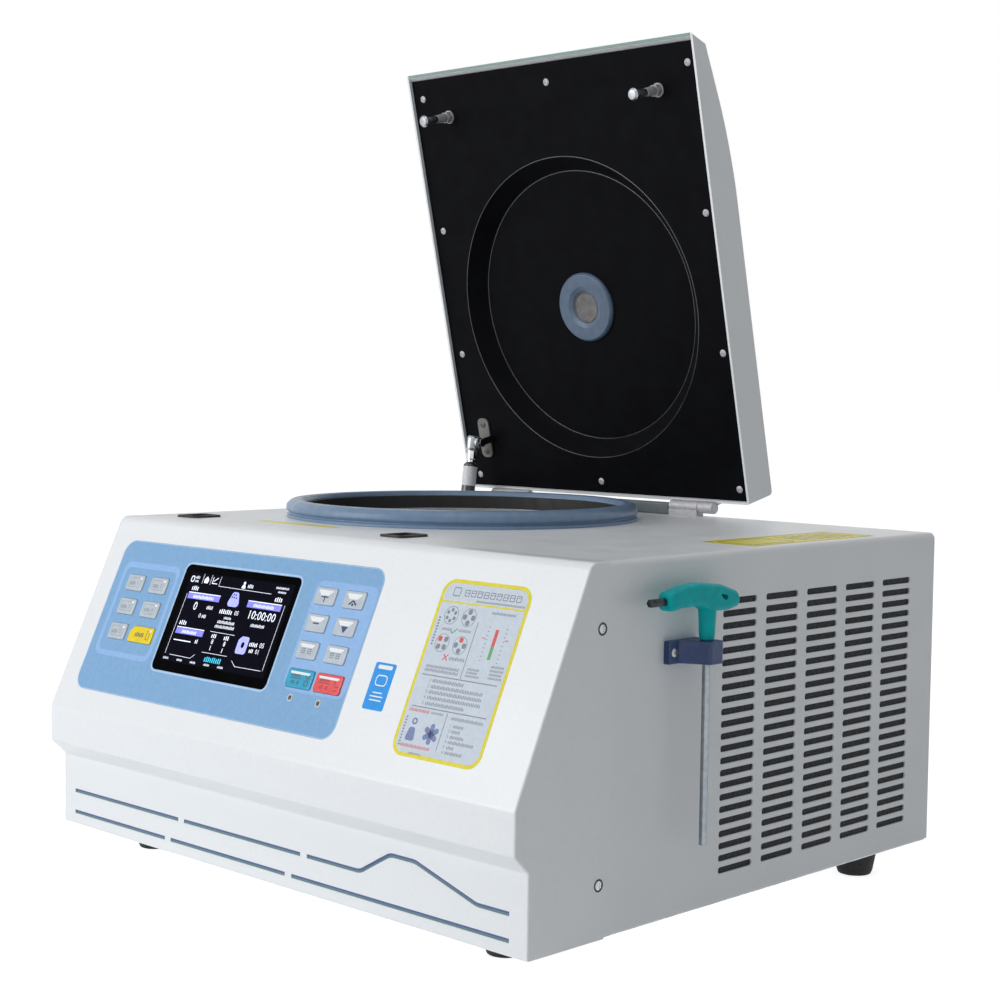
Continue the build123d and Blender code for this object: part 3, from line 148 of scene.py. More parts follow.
def add_node(owner, kind, values=None, links=None, **settings):
    """Adds a node to a material or a world, with its settings, its input values and the links into it."""
    made = owner.node_tree.nodes.new(kind)
    for name, value in settings.items():
        setattr(made, name, value)
    for name, value in (values or {}).items():
        made.inputs[name].default_value = value
    for name, source in (links or {}).items():
        owner.node_tree.links.new(source, made.inputs[name])
    return made


def new_finish(name, colour, **sockets):
    """A material with its colour and constants on the shader's own sockets."""
    material = bpy.data.materials.new(name)
    material.use_nodes = True
    shader = material.node_tree.nodes["Principled BSDF"]
    shader.inputs["Base Color"].default_value = linear(colour)
    for socket, value in sockets.items():
        shader.inputs[socket.replace("_", " ")].default_value = value
    place = add_node(material, "ShaderNodeTexCoord").outputs["Object"]
    return material, shader, place


def vary_colour(material, shader, place, colours, size, detail=3.0, low=0.35, high=0.65):
    """Noise of a given real size, in millimetres, drifts the colour between two tones."""
    noise = add_node(material, "ShaderNodeTexNoise", {"Scale": 1 / (size * METRE), "Detail": detail}, {"Vector": place})
    ramp = add_node(material, "ShaderNodeValToRGB", links={"Fac": noise.outputs["Fac"]})
    ramp.color_ramp.elements[0].position = low
    ramp.color_ramp.elements[1].position = high
    ramp.color_ramp.elements[0].color = linear(colours[0])
    ramp.color_ramp.elements[1].color = linear(colours[1])
    material.node_tree.links.new(ramp.outputs["Color"], shader.inputs["Base Color"])
    return ramp


def vary_gloss(material, shader, place, low, high, size):
    """Smudges and handling marks of a real size change the roughness."""
    noise = add_node(material, "ShaderNodeTexNoise", {"Scale": 1 / (size * METRE), "Detail": 4.0}, {"Vector": place})
    spread = add_node(
        material, "ShaderNodeMapRange",
        {"From Min": 0.3, "From Max": 0.7, "To Min": low, "To Max": high},
        {"Value": noise.outputs["Fac"]},
    )
    material.node_tree.links.new(spread.outputs["Result"], shader.inputs["Roughness"])


def add_relief(material, shader, place, size, height, strength=1.0, stretch=None, cells=False):
    """Relief of a real size and height, in millimetres; stretch draws it out along an axis."""
    if stretch:
        place = add_node(material, "ShaderNodeMapping", {"Scale": stretch}, {"Vector": place}).outputs["Vector"]
    if cells:
        pattern = add_node(material, "ShaderNodeTexVoronoi", {"Scale": 1 / (size * METRE)}, {"Vector": place})
        level = pattern.outputs["Distance"]
    else:
        pattern = add_node(
            material, "ShaderNodeTexNoise", {"Scale": 1 / (size * METRE), "Detail": 2.0}, {"Vector": place},
        )
        level = pattern.outputs["Fac"]
    bump = add_node(
        material, "ShaderNodeBump",
        {"Strength": strength, "Distance": height * METRE},
        {"Height": level},
    )
    material.node_tree.links.new(bump.outputs["Normal"], shader.inputs["Normal"])


def surface(name, colour, drift, gloss=None, relief=None, **sockets):
    """A finish with a drift of its colour and, where given, of its gloss, and a relief."""
    material, shader, place = new_finish(name, colour, **sockets)
    vary_colour(material, shader, place, *drift)
    if gloss:
        vary_gloss(material, shader, place, *gloss)
    if relief:
        add_relief(material, shader, place, *relief)
    return material


def make_powder_coat():
    """Satin powder coat on steel sheet: a fine orange peel breaks up its soft highlights."""
    return surface(
        "powder_coated_steel", PAINT, ((PAINT, PAINT_SHADE), 2.6, 6.0, 0.25, 0.75), (0.36, 0.48, 35.0),
        (1.6, 0.03, 0.5), Roughness=0.42, Coat_Weight=0.12, Coat_Roughness=0.3,
    )


def make_moulded_white():
    """Painted moulding of the front: smoother than the sheet, with a faint texture of the tool."""
    return surface(
        "painted_front_moulding", PAINT, ((PAINT, PAINT_SHADE), 3.5, 5.0, 0.25, 0.75), (0.3, 0.4, 50.0),
        (0.9, 0.012, 0.5), Roughness=0.34, Coat_Weight=0.2, Coat_Roughness=0.22,
    )


def make_zinc():
    """Zinc plated sheet: cloudy grey with fine rolling marks along its length."""
    return surface(
        "zinc_plated_sheet", "#B9BCBE", (("#A4A8AB", "#C6C9CB"), 14.0, 6.0), (0.3, 0.52, 9.0),
        (0.5, 0.02, 0.5, (1, 0.04, 1)), Metallic=1.0, Roughness=0.4,
    )


def make_black_rubber():
    """Moulded black rubber: dull, a little dusty, with a coarse skin."""
    return surface(
        "moulded_black_rubber", "#161616", (("#101010", "#232322"), 4.0, 5.0), None, (0.45, 0.05, 0.6), Roughness=0.78,
    )


def make_silicone(name, colour, other):
    """Blue grey silicone rubber: soft satin, with moulding flow and some dust."""
    return surface(
        name, colour, ((colour, other), 9.0, 5.0), (0.28, 0.46, 20.0), (0.7, 0.025, 0.5), Roughness=0.4,
        Specular_IOR_Level=0.3, Coat_Weight=0.1, Coat_Roughness=0.25,
    )


def make_chamber_steel():
    """Deep drawn stainless steel: circular polishing marks round the chamber's axis."""
    material, shader, place = new_finish("brushed_stainless_chamber", "#B4B7BA", Metallic=1.0, Roughness=0.3)
    centred = add_node(
        material, "ShaderNodeMapping",
        {"Location": (-CHAMBER[0] * METRE, -CHAMBER[1] * METRE, 0)},
        {"Vector": place},
    )
    rings = add_node(
        material, "ShaderNodeTexWave",
        {"Scale": 55.0, "Distortion": 2.5, "Detail": 4.0, "Detail Scale": 30.0},
        {"Vector": centred.outputs["Vector"]},
        wave_type="RINGS", rings_direction="Z",
    )
    spread = add_node(material, "ShaderNodeMapRange", {"To Min": 0.22, "To Max": 0.42}, {"Value": rings.outputs["Fac"]})
    material.node_tree.links.new(spread.outputs["Result"], shader.inputs["Roughness"])
    vary_colour(material, shader, place, ("#A6AAAD", "#BFC2C4"), 30.0, 5.0)
    return material


def make_foam():
    """Rigid polyurethane foam: yellowish, full of small pores."""
    return surface(
        "rigid_foam", "#D8C896", (("#C9B67F", "#E2D5A8"), 6.0, 5.0), None, (2.0, 0.4, 0.8, None, True), Roughness=0.9,
    )


def make_primer():
    """Primed steel plate: even dull grey with runs and rub marks."""
    return surface(
        "primed_steel", "#5E6264", (("#54585A", "#6A6E70"), 12.0, 5.0), None, (1.0, 0.04, 0.5), Roughness=0.6,
    )


def make_cast_aluminium():
    """Sand cast aluminium housing: grainy and dull silver."""
    return surface(
        "cast_aluminium", "#9EA1A4", (("#8C8F92", "#ADB0B3"), 5.0, 6.0), None, (0.8, 0.12, 0.7), Metallic=1.0,
        Roughness=0.55,
    )


def make_black_enamel():
    """Gloss black enamel over steel: deep, with a slight ripple."""
    return surface(
        "black_enamel", "#121315", (("#0E0F10", "#1B1D20"), 8.0, 4.0), (0.2, 0.34, 15.0), (2.0, 0.02, 0.5),
        Roughness=0.25, Coat_Weight=0.5, Coat_Roughness=0.12,
    )


def make_fins():
    """Aluminium fins of the condenser, pressed in thin leaves: fine upright lines."""
    material, shader, place = new_finish("mill_finish_aluminium", "#AEB1B3", Metallic=1.0, Roughness=0.42)
    leaves = add_node(
        material, "ShaderNodeTexWave",
        {"Scale": 60.0, "Distortion": 0.4, "Detail": 1.0},
        {"Vector": place},
        wave_type="BANDS", bands_direction="Y",
    )
    ramp = add_node(material, "ShaderNodeValToRGB", links={"Fac": leaves.outputs["Fac"]})
    ramp.color_ramp.elements[0].color = linear("#77797B")
    ramp.color_ramp.elements[1].color = linear("#C4C6C7")
    material.node_tree.links.new(ramp.outputs["Color"], shader.inputs["Base Color"])
    vary_gloss(material, shader, place, 0.36, 0.55, 8.0)
    return material


def make_copper():
    """Drawn copper tube: warm, with darker oxide patches."""
    return surface(
        "drawn_copper", "#B8734A", (("#9A5A38", "#C98558"), 7.0, 5.0), (0.24, 0.46, 6.0), Metallic=1.0, Roughness=0.3,
    )


def make_black_moulding():
    """Formed black plastic of the liner: semi gloss with a very fine leather-like skin."""
    return surface(
        "formed_black_plastic", LINER_COLOUR, ((LINER_COLOUR, "#0D0D10"), 22.0, 5.0), (0.38, 0.54, 30.0),
        (0.7, 0.02, 0.5), Roughness=0.42, Specular_IOR_Level=0.02,
    )


def make_painted_edge_highlight():
    """Edges of the formed liner: glossier than the sheet, with a lighter grey drifting over large patches that paints
    their highlights.
    """
    return surface(
        "black_edge_painted_highlight", "#2A2B30", (("#202126", "#3A3B42"), 60.0, 3.0), (0.2, 0.36, 30.0), Roughness=0.26,
        Specular_IOR_Level=0.6,
    )


def make_filter():
    """Filter mat behind the slots: dark open foam with lighter cell walls."""
    return surface(
        "dark_filter_foam", "#1E2023", (("#131416", "#3C3F44"), 2.2, 3.0), None, (1.4, 0.5, 0.9, None, True),
        Roughness=0.9,
    )


def make_board():
    """Green solder mask over glass fibre: satin with a faint weave."""
    return surface(
        "green_circuit_board", "#1E5A34", (("#174A2A", "#26683D"), 3.0, 4.0), None, (0.6, 0.02, 1.0, None, True),
        Roughness=0.4, Coat_Weight=0.2,
    )


def make_screen_glass():
    """Cover glass with a black border: nearly mirror smooth, with faint finger marks."""
    return surface(
        "black_cover_glass", SCREEN_COLOUR, ((SCREEN_COLOUR, "#060709"), 18.0, 4.0), (0.09, 0.2, 24.0), Roughness=0.12,
        Specular_IOR_Level=0.008,
    )


def make_foil(name, colour, other):
    """Printed polyester foil: fine emboss like velvet paper that softens reflections."""
    return surface(
        name, colour, ((colour, other), 4.0, 5.0), (0.32, 0.46, 28.0), (0.6, 0.012, 0.5, None, True), Roughness=0.42,
        Specular_IOR_Level=0.25,
    )


def make_ink(name, colour, other):
    """Screen printed ink: flat and even, a little uneven where it dried."""
    return surface(name, colour, ((colour, other), 1.5, 4.0), Roughness=0.45)


def make_glow(name, colour, other, strength):
    """Lit part of the screen: colour shines through the glass, with a slight grain of its pixels."""
    material, shader, place = new_finish(name, colour, Roughness=0.15, Specular_IOR_Level=0.008)
    ramp = vary_colour(material, shader, place, (colour, other), 2.5, 3.0)
    material.node_tree.links.new(ramp.outputs["Color"], shader.inputs["Emission Color"])
    shader.inputs["Emission Strength"].default_value = strength
    return material


def make_key_dome(name, colour, other):
    """Epoxy dome on a printed key: glossy and slightly milky, with small waves on top."""
    return surface(
        name, colour, ((colour, other), 7.0, 4.0), None, (6.0, 0.05, 0.5), Roughness=0.2, Specular_IOR_Level=0.2,
        Coat_Weight=0.25, Coat_Roughness=0.05,
    )


def make_grained(name, colour, other, roughness, grain=0.6, height=0.04):
    """Moulded plastic with an even spark-eroded grain."""
    return surface(
        name, colour, ((colour, other), 5.0, 5.0), (roughness - 0.07, roughness + 0.08, 12.0), (grain, height, 0.6),
        Roughness=roughness,
    )


def make_plated_steel():
    """Nickel plated steel: bright grey with fine turning marks."""
    return surface(
        "nickel_plated_steel", "#B7B9BB", (("#A3A6A8", "#C6C8CA"), 6.0, 5.0), (0.18, 0.36, 5.0),
        (0.3, 0.01, 0.4, (0.05, 1, 1)), Metallic=1.0, Roughness=0.26,
    )


def make_dull_zinc(name, colour, other):
    """Passivated zinc on small fittings: matt, hardly metallic, with a cloudy film."""
    return surface(
        name, colour, ((colour, other), 3.0, 6.0), (0.45, 0.65, 5.0), (0.4, 0.015, 0.5), Metallic=0.25, Roughness=0.55,
    )


def make_chrome():
    """Polished chrome: mirror bright, with slight handling smears."""
    return surface(
        "polished_chrome", "#D6D8DA", (("#C9CCCE", "#DDDFE0"), 6.0, 4.0), (0.05, 0.16, 6.0), Metallic=1.0,
        Roughness=0.08,
    )


def make_window():
    """Smoked acrylic plug: half clear, with fine polishing marks and a warm grey tint."""
    return surface(
        "smoked_acrylic", "#777676", (("#676666", "#858484"), 8.0, 4.0), (0.04, 0.18, 5.0), Roughness=0.1, IOR=1.49,
        Transmission_Weight=0.35, Specular_IOR_Level=0.3,
    )


def make_anodised(name, colour, other):
    """Anodised aluminium: satin, with fine rings left by turning."""
    return surface(
        name, colour, ((colour, other), 10.0, 5.0), (0.26, 0.42, 8.0), (0.4, 0.012, 0.5, (1, 1, 0.1)), Metallic=1.0,
        Roughness=0.34,
    )


def make_tool_steel():
    """Black oxide on a hexagon blade: dark, slightly oily, brighter in patches."""
    return surface(
        "black_oxide_steel", "#2B2D30", (("#202225", "#3C3F43"), 4.0, 6.0), (0.28, 0.48, 4.0), Metallic=0.8,
        Roughness=0.36,
    )


def make_bright_blade():
    """Brushed nickel on the long blade: light grey drawn along its length."""
    return surface(
        "brushed_nickel_blade", "#A9ADB0", (("#868E94", "#959DA2"), 5.0, 5.0), (0.3, 0.5, 4.0),
        (0.4, 0.02, 0.5, (1, 1, 0.03)), Metallic=1.0, Roughness=0.38,
    )


def make_grip():
    """Soft moulded grip: rubbery teal with a dull bloom in patches."""
    return surface(
        "soft_teal_grip", GRIP_COLOUR, ((GRIP_COLOUR, "#00BABE"), 8.0, 5.0), (0.35, 0.52, 10.0), (0.6, 0.03, 0.6),
        Roughness=0.36, Specular_IOR_Level=0.16,
    )


# Shapes


def reach(before, here, after, radius):
    """Length that a rounding takes off each side of a corner, and the angle it turns through."""
    first = Vector(before) - Vector(here)
    second = Vector(after) - Vector(here)
    turn = math.pi - first.angle(second)
    return radius * math.tan(turn / 2), turn


def draw_corners(bm, corners, steps, closed=True):
    """Draws an outline, then rounds its corners; each corner is two coordinates and a radius."""
    verts = [bm.verts.new((a, b, 0)) for a, b, _ in corners]
    if closed:
        bm.faces.new(verts)
    else:
        for first, second in zip(verts, verts[1:]):
            bm.edges.new((first, second))
    count = len(corners)
    for index, (a, b, radius) in enumerate(corners):
        if not radius:
            continue
        before = corners[index - 1][:2]
        after = corners[(index + 1) % count][:2]
        offset, _ = reach(before, (a, b), after, radius)
        bmesh.ops.bevel(
            bm, geom=[verts[index]], offset=offset, offset_type="OFFSET", segments=steps,
            profile=0.5, affect="VERTICES", material=-1,
        )
    bmesh.ops.remove_doubles(bm, verts=bm.verts[:], dist=1e-4)


def prism(corners, low, high, steps=6):
    """Solid from an outline, from one height to another."""
    bm = bmesh.new()
    draw_corners(bm, corners, steps)
    made = bmesh.ops.extrude_face_region(bm, geom=bm.faces[:])
    raised = [v for v in made["geom"] if isinstance(v, bmesh.types.BMVert)]
    bmesh.ops.translate(bm, vec=(0, 0, high - low), verts=raised)
    bmesh.ops.translate(bm, vec=(0, 0, low), verts=bm.verts)
    bmesh.ops.recalc_face_normals(bm, faces=bm.faces)
    return bm


def slab(x, y, z):
    """Block between the low and the high value of each pair."""
    bm = bmesh.new()
    bmesh.ops.create_cube(bm, size=1.0)
    bmesh.ops.scale(bm, vec=(x[1] - x[0], y[1] - y[0], z[1] - z[0]), verts=bm.verts)
    bmesh.ops.translate(bm, vec=((x[0] + x[1]) / 2, (y[0] + y[1]) / 2, (z[0] + z[1]) / 2), verts=bm.verts)
    return bm


def box_corners(x, y, width, height, radius=0.0):
    """Corners of a rounded rectangle about its middle."""
    a, b = width / 2, height / 2
    return [(x - a, y - b, radius), (x + a, y - b, radius), (x + a, y + b, radius), (x - a, y + b, radius)]


def add_outline(curve, corners, steps):
    """Closed curve through an outline whose corners are true arcs."""
    count = len(corners)
    stops = []
    for index, (a, b, radius) in enumerate(corners):
        here = Vector((a, b, 0))
        before = Vector((*corners[index - 1][:2], 0))
        after = Vector((*corners[(index + 1) % count][:2], 0))
        if not radius:
            stops.append([here, None, None])
            continue
        offset, turn = reach(before, here, after, radius)
        handle = 4 / 3 * math.tan(turn / 4) * radius
        back = (before - here).normalized()
        ahead = (after - here).normalized()
        start = here + back * offset
        end = here + ahead * offset
        if stops and (stops[-1][0] - start).length < 1e-4:
            stops[-1][2] = start - back * handle
        else:
            stops.append([start, None, start - back * handle])
        stops.append([end, end - ahead * handle, None])
    if (stops[0][0] - stops[-1][0]).length < 1e-4 and len(stops) > 2:
        stops[0][1] = stops.pop()[1]
    spline = curve.splines.new("BEZIER")
    spline.bezier_points.add(len(stops) - 1)
    spline.resolution_u = steps
    spline.use_cyclic_u = True
    for point, (place, left, right) in zip(spline.bezier_points, stops):
        point.co = place
        point.handle_left_type = "FREE" if left else "VECTOR"
        point.handle_right_type = "FREE" if right else "VECTOR"
        if left:
            point.handle_left = left
        if right:
            point.handle_right = right


def curve_mesh(curve):
    """Mesh of a curve or a text, in a bmesh."""
    holder = bpy.data.objects.new("outline", curve)
    bpy.context.scene.collection.objects.link(holder)
    bpy.context.view_layer.update()
    mesh = bpy.data.meshes.new_from_object(holder)
    bm = bmesh.new()
    bm.from_mesh(mesh)
    bpy.data.objects.remove(holder)
    bpy.data.meshes.remove(mesh)
    return bm


def plate(outlines, low, high, steps=5):
    """Plate between two heights; the first outline is its edge and the others are its openings."""
    curve = bpy.data.curves.new("outline", "CURVE")
    curve.dimensions = "2D"
    curve.fill_mode = "BOTH"
    curve.extrude = (high - low) / 2
    for corners in outlines:
        round_hole = len(corners) == 4 and corners[0][2] > 12
        add_outline(curve, corners, 24 if round_hole else steps)
    bm = curve_mesh(curve)
    bpy.data.curves.remove(curve)
    bmesh.ops.remove_doubles(bm, verts=bm.verts[:], dist=1e-3)
    bmesh.ops.dissolve_degenerate(bm, edges=bm.edges[:], dist=1e-4)
    bmesh.ops.translate(bm, vec=(0, 0, (low + high) / 2), verts=bm.verts)
    bmesh.ops.recalc_face_normals(bm, faces=bm.faces)
    return bm


def text(words, size, x, y, low, high):
    """Plain figures as thin raised print."""
    curve = bpy.data.curves.new("figures", "FONT")
    curve.body = words
    curve.size = size
    curve.align_x = "CENTER"
    curve.align_y = "CENTER"
    curve.extrude = (high - low) / 2
    curve.resolution_u = 2
    bm = curve_mesh(curve)
    bpy.data.curves.remove(curve)
    bmesh.ops.remove_doubles(bm, verts=bm.verts[:], dist=1e-3)
    bmesh.ops.translate(bm, vec=(x, y, (low + high) / 2), verts=bm.verts)
    return bm


def lathe(points, centre=(0.0, 0.0), steps=96, round_steps=5):
    """Solid turned about an upright axis; each point is a radius, a height and a rounding."""
    bm = bmesh.new()
    open_ended = points[0][0] == 0
    draw_corners(bm, points, round_steps, closed=not open_ended)
    for face in bm.faces[:]:
        bmesh.ops.delete(bm, geom=[face], context="FACES_ONLY")
    bmesh.ops.rotate(bm, matrix=Matrix.Rotation(math.pi / 2, 3, "X"), verts=bm.verts)
    bmesh.ops.spin(
        bm, geom=bm.verts[:] + bm.edges[:], cent=(0, 0, 0), axis=(0, 0, 1), dvec=(0, 0, 0),
        angle=2 * math.pi, steps=steps, use_merge=True, use_duplicate=False,
    )
    bmesh.ops.remove_doubles(bm, verts=bm.verts[:], dist=1e-3)
    bmesh.ops.translate(bm, vec=(*centre, 0), verts=bm.verts)
    bmesh.ops.recalc_face_normals(bm, faces=bm.faces)
    return bm


def rod(start, end, radius, steps=24, rounding=0.0):
    """Round bar between two points."""
    axis = Vector(end) - Vector(start)
    bm = lathe(
        [(0, 0, 0), (radius, 0, rounding), (radius, axis.length, rounding), (0, axis.length, 0)], steps=steps,
        round_steps=3,
    )
    turn = Vector((0, 0, 1)).rotation_difference(axis).to_matrix().to_4x4()
    return moved(bm, Matrix.Translation(start) @ turn)


def moved(bm, matrix):
    """The same shape, carried by a matrix."""
    bmesh.ops.transform(bm, matrix=matrix, verts=bm.verts)
    return bm


def turned(place, axis, quarters):
    """Matrix that turns about an axis by quarter turns and then carries to a place."""
    return Matrix.Translation(place) @ Matrix.Rotation(quarters * math.pi / 2, 4, axis)


def hexagon(radius, rounding):
    """Corners of a hexagon about the middle."""
    return [(radius * math.cos(n * math.pi / 3), radius * math.sin(n * math.pi / 3), rounding) for n in range(6)]


def soften(bm, width, segments, choose=None):
    """Rounds the sharp edges, or those of them whose middle is chosen."""
    bmesh.ops.dissolve_limit(bm, angle_limit=math.radians(0.5), verts=bm.verts[:], edges=bm.edges[:])
    limit = math.radians(SHARP_EDGE)
    edges = [e for e in bm.edges if len(e.link_faces) == 2 and e.calc_face_angle(0) > limit]
    if choose:
        edges = [e for e in edges if choose((e.verts[0].co + e.verts[1].co) / 2)]
    bmesh.ops.bevel(
        bm, geom=edges, offset=width, offset_type="OFFSET", segments=segments, profile=0.5,
        affect="EDGES", clamp_overlap=True, material=-1,
    )
    return bm


def joined(*parts):
    """Several shapes in one."""
    whole = bmesh.new()
    for part in parts:
        mesh = bpy.data.meshes.new("part")
        part.to_mesh(mesh)
        part.free()
        whole.from_mesh(mesh)
        bpy.data.meshes.remove(mesh)
    return whole


def as_object(bm):
    """Passing object that a modifier can work on."""
    mesh = bpy.data.meshes.new("shape")
    bm.to_mesh(mesh)
    bm.free()
    holder = bpy.data.objects.new("shape", mesh)
    bpy.context.scene.collection.objects.link(holder)
    return holder


def carved(body, *cutters):
    """Takes the cutters out of a body."""
    target = as_object(body)
    tools = [as_object(cutter) for cutter in cutters]
    for tool in tools:
        cut = target.modifiers.new("cut", "BOOLEAN")
        cut.operation = "DIFFERENCE"
        cut.solver = "EXACT"
        cut.object = tool
    bpy.context.view_layer.update()
    result = target.evaluated_get(bpy.context.evaluated_depsgraph_get())
    bm = bmesh.new()
    bm.from_mesh(result.to_mesh())
    result.to_mesh_clear()
    for holder in [target, *tools]:
        mesh = holder.data
        bpy.data.objects.remove(holder)
        bpy.data.meshes.remove(mesh)
    bmesh.ops.remove_doubles(bm, verts=bm.verts[:], dist=1e-3)
    if not bm.faces:
        raise RuntimeError("a cut left nothing of the piece")
    return bm


def screw_head(radius, rise, sunk=0.0):
    """Domed head with a cross recess, seated at height 0."""
    dome = [(0, rise, 0), (0.6 * radius, 0.93 * rise, 0.2 * radius), (radius, 0.15 * rise, 0.1 * radius)]
    head = lathe(dome + [(radius, -sunk, 0), (0, -sunk, 0)], steps=32)
    arm = (-0.58 * radius, 0.58 * radius)
    width = (-0.11 * radius, 0.11 * radius)
    depth = (0.35 * rise, 2 * rise)
    return carved(head, slab(arm, width, depth), slab(width, arm, depth))


def finish_piece(bm, name, finish, body, nodes=(), sharp=35.0, even=True):
    """Makes the finished object of a shape, in metres, on the body it rides on."""
    if not bm.faces:
        raise RuntimeError(f"piece {name} has no faces")
    bmesh.ops.scale(bm, vec=(METRE, METRE, METRE), verts=bm.verts)
    mesh = bpy.data.meshes.new(name)
    bm.to_mesh(mesh)
    bm.free()
    mesh.materials.append(FINISH[finish])
    mesh.shade_smooth()
    mesh.set_sharp_from_angle(angle=math.radians(sharp))
    piece = bpy.data.objects.new(name, mesh)
    bpy.context.scene.collection.objects.link(piece)
    if even:
        weighted = piece.modifiers.new("even shading", "WEIGHTED_NORMAL")
        weighted.keep_sharp = True
    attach(piece, body)
    if nodes:
        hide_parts(*nodes)
    return piece


def dress(node, finish, edge):
    """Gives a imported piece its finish, joins its loose faces and rounds its edges a little."""
    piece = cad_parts[node]
    piece.data.materials.clear()
    piece.data.materials.append(FINISH[finish])
    if "custom_normal" in piece.data.attributes:
        piece.data.attributes.remove(piece.data.attributes["custom_normal"])
    piece.data.shade_smooth()
    weld = piece.modifiers.new("joined faces", "WELD")
    weld.merge_threshold = 1e-5
    whole = piece.modifiers.new("whole faces", "DECIMATE")
    whole.decimate_type = "DISSOLVE"
    whole.angle_limit = math.radians(0.5)
    rounded = piece.modifiers.new("rounded edges", "BEVEL")
    rounded.width = edge * METRE
    rounded.segments = 2
    rounded.limit_method = "ANGLE"
    rounded.angle_limit = math.radians(35)
    rounded.harden_normals = True


class CentrifugeSizes(bpy.types.PropertyGroup):
    """Sizes that a user would change."""

    moulding_round: bpy.props.FloatProperty(
        name="Moulding edge", description="Rounding of the front moulding's ends", default=0.002, min=0.0005, max=0.004,
        unit="LENGTH",
    )
    vent_round: bpy.props.FloatProperty(
        name="Slot end", description="Rounding of the ventilation slots' ends", default=0.0021, min=0.0005, max=0.0022,
        unit="LENGTH",
    )
    key_dome: bpy.props.FloatProperty(
        name="Key dome", description="How far the dome of a key draws in from its edge", default=0.0022, min=0.001,
        max=0.004, unit="LENGTH",
    )
    lid_round: bpy.props.FloatProperty(
        name="Lid edge", description="Rounding of the lid's side edges", default=0.0025, min=0.001, max=0.007,
        unit="LENGTH",
    )
    seal_steps: bpy.props.IntProperty(
        name="Ring steps", description="Flats round the large turned pieces", default=144, min=48, max=288)
    key_light: bpy.props.FloatProperty(
        name="Front light", description="Power of the soft light in front", default=72.5, min=1.0, max=300.0,
        unit="POWER",
    )


class CentrifugeColours(bpy.types.PropertyGroup):
    """Colours that a user would change."""

    backdrop: bpy.props.FloatVectorProperty(
        name="Backdrop", description="Colour of the floor and the background", size=3, subtype="COLOR",
        default=(0.92, 0.93, 0.94), min=0, max=1,
    )


def build_cover(sizes):
    """The cover as one sheet: cut flat, then bent down both sides."""
    arc = BEND * math.pi / 2
    flat = HALF_WIDTH - BEND
    side = flat + arc + DECK_Z - BEND - FLOOR_Z
    vent_round = sizes.vent_round / METRE
    outlines = [[(-side, SEAM_Y, 0), (side, SEAM_Y, 0), (side, REAR_Y, 0), (-side, REAR_Y, 0)]]
    outlines.append(box_corners(*CHAMBER, 326.0, 326.0, 163.0))
    for x in LATCH_XS:
        outlines.append(box_corners(x, LATCH_Y, *LATCH_OPENING))
    outlines.append([(-290, 198, 2), (-256, 198, 2), (-256, 256, 2), (-290, 256, 2)])
    for column in range(VENT_COLUMNS):
        for row in range(VENT_ROWS):
            y = VENT_CENTRE[0] + (column - (VENT_COLUMNS - 1) / 2) * VENT_COLUMN_PITCH
            z = VENT_CENTRE[1] + (row - (VENT_ROWS - 1) / 2) * VENT_ROW_PITCH
            outlines.append(box_corners(flat + arc + DECK_Z - BEND - z, y, VENT_HEIGHT, VENT_LENGTH, vent_round))
    bm = plate(outlines, -SHEET, 0.0, steps=3)
    for step in range(7):
        for side_sign in (-1, 1):
            at = side_sign * (flat + arc * step / 6)
            geometry = bm.verts[:] + bm.edges[:] + bm.faces[:]
            bmesh.ops.bisect_plane(bm, geom=geometry, dist=1e-5, plane_co=(at, 0, 0), plane_no=(1, 0, 0))
    for vert in bm.verts:
        along, y, depth = vert.co
        sign = 1 if along > 0 else -1
        past = abs(along) - flat
        if past <= 1e-4:
            vert.co = (along, y, DECK_Z + depth)
        elif past <= arc:
            angle = past / arc * math.pi / 2
            radius = BEND + depth
            vert.co = (sign * (flat + radius * math.sin(angle)), y, DECK_Z - BEND + radius * math.cos(angle))
        else:
            vert.co = (sign * (HALF_WIDTH + depth), y, DECK_Z - BEND - (past - arc))
    flanges = []
    for sign in (-1, 1):
        x = sorted((sign * (HALF_WIDTH - SHEET), sign * (HALF_WIDTH - SHEET - 5)))
        flanges.append(slab(x, (SEAM_Y, REAR_Y - SHEET), (FLOOR_Z, FLOOR_Z + SHEET)))
    return joined(bm, *flanges)


class CENTRIFUGE_OT_cover(bpy.types.Operator):
    """Wrapped sheet cover with its slots, the filter mat behind them and the screws in its sides"""

    bl_idname = "centrifuge.cover"
    bl_label = "Cabinet cover"

    def execute(self, context):
        sizes = context.scene.centrifuge_sizes
        finish_piece(build_cover(sizes), "cabinet_cover", "paint", "cabinet", ["cover"])
        mat = slab((HALF_WIDTH - SHEET - 3.2, HALF_WIDTH - SHEET - 0.2), (-46.0, 249.0), (43.0, 279.0))
        finish_piece(soften(mat, 0.8, 3), "air_filter", "filter", "cabinet")
        heads, cups = [], []
        for side in (1, -1):
            for z in COVER_SCREW_ZS:
                place = turned((side * HALF_WIDTH, COVER_SCREW_Y, z), "Y", side)
                heads.append(moved(screw_head(3.6, 1.1, 0.6), place))
                cup = lathe([(3.7, -0.5, 0), (5.2, -0.5, 0), (5.2, 0.35, 0.3), (3.7, 0.15, 0)], steps=32)
                cups.append(moved(cup, place))
        finish_piece(joined(*heads), "cover_screws", "nickel", "cabinet")
        finish_piece(joined(*cups), "screw_cups", "black", "cabinet")
        return {"FINISHED"}


def fascia_corners():
    """Side view of the front moulding in Y and Z."""
    lower = LOWER_FACE_Y
    return [
        (lower, BASE_Z, 0), (SEAM_Y, BASE_Z, 0), (SEAM_Y, DECK_Z, 0), (FRONT_Y + SLOPE_RUN, DECK_Z, 10.0),
        (FRONT_Y, NOSE_TOP, 8.0), (FRONT_Y, 102.0, 3.0), (lower, 87.0, 3.0),
    ]


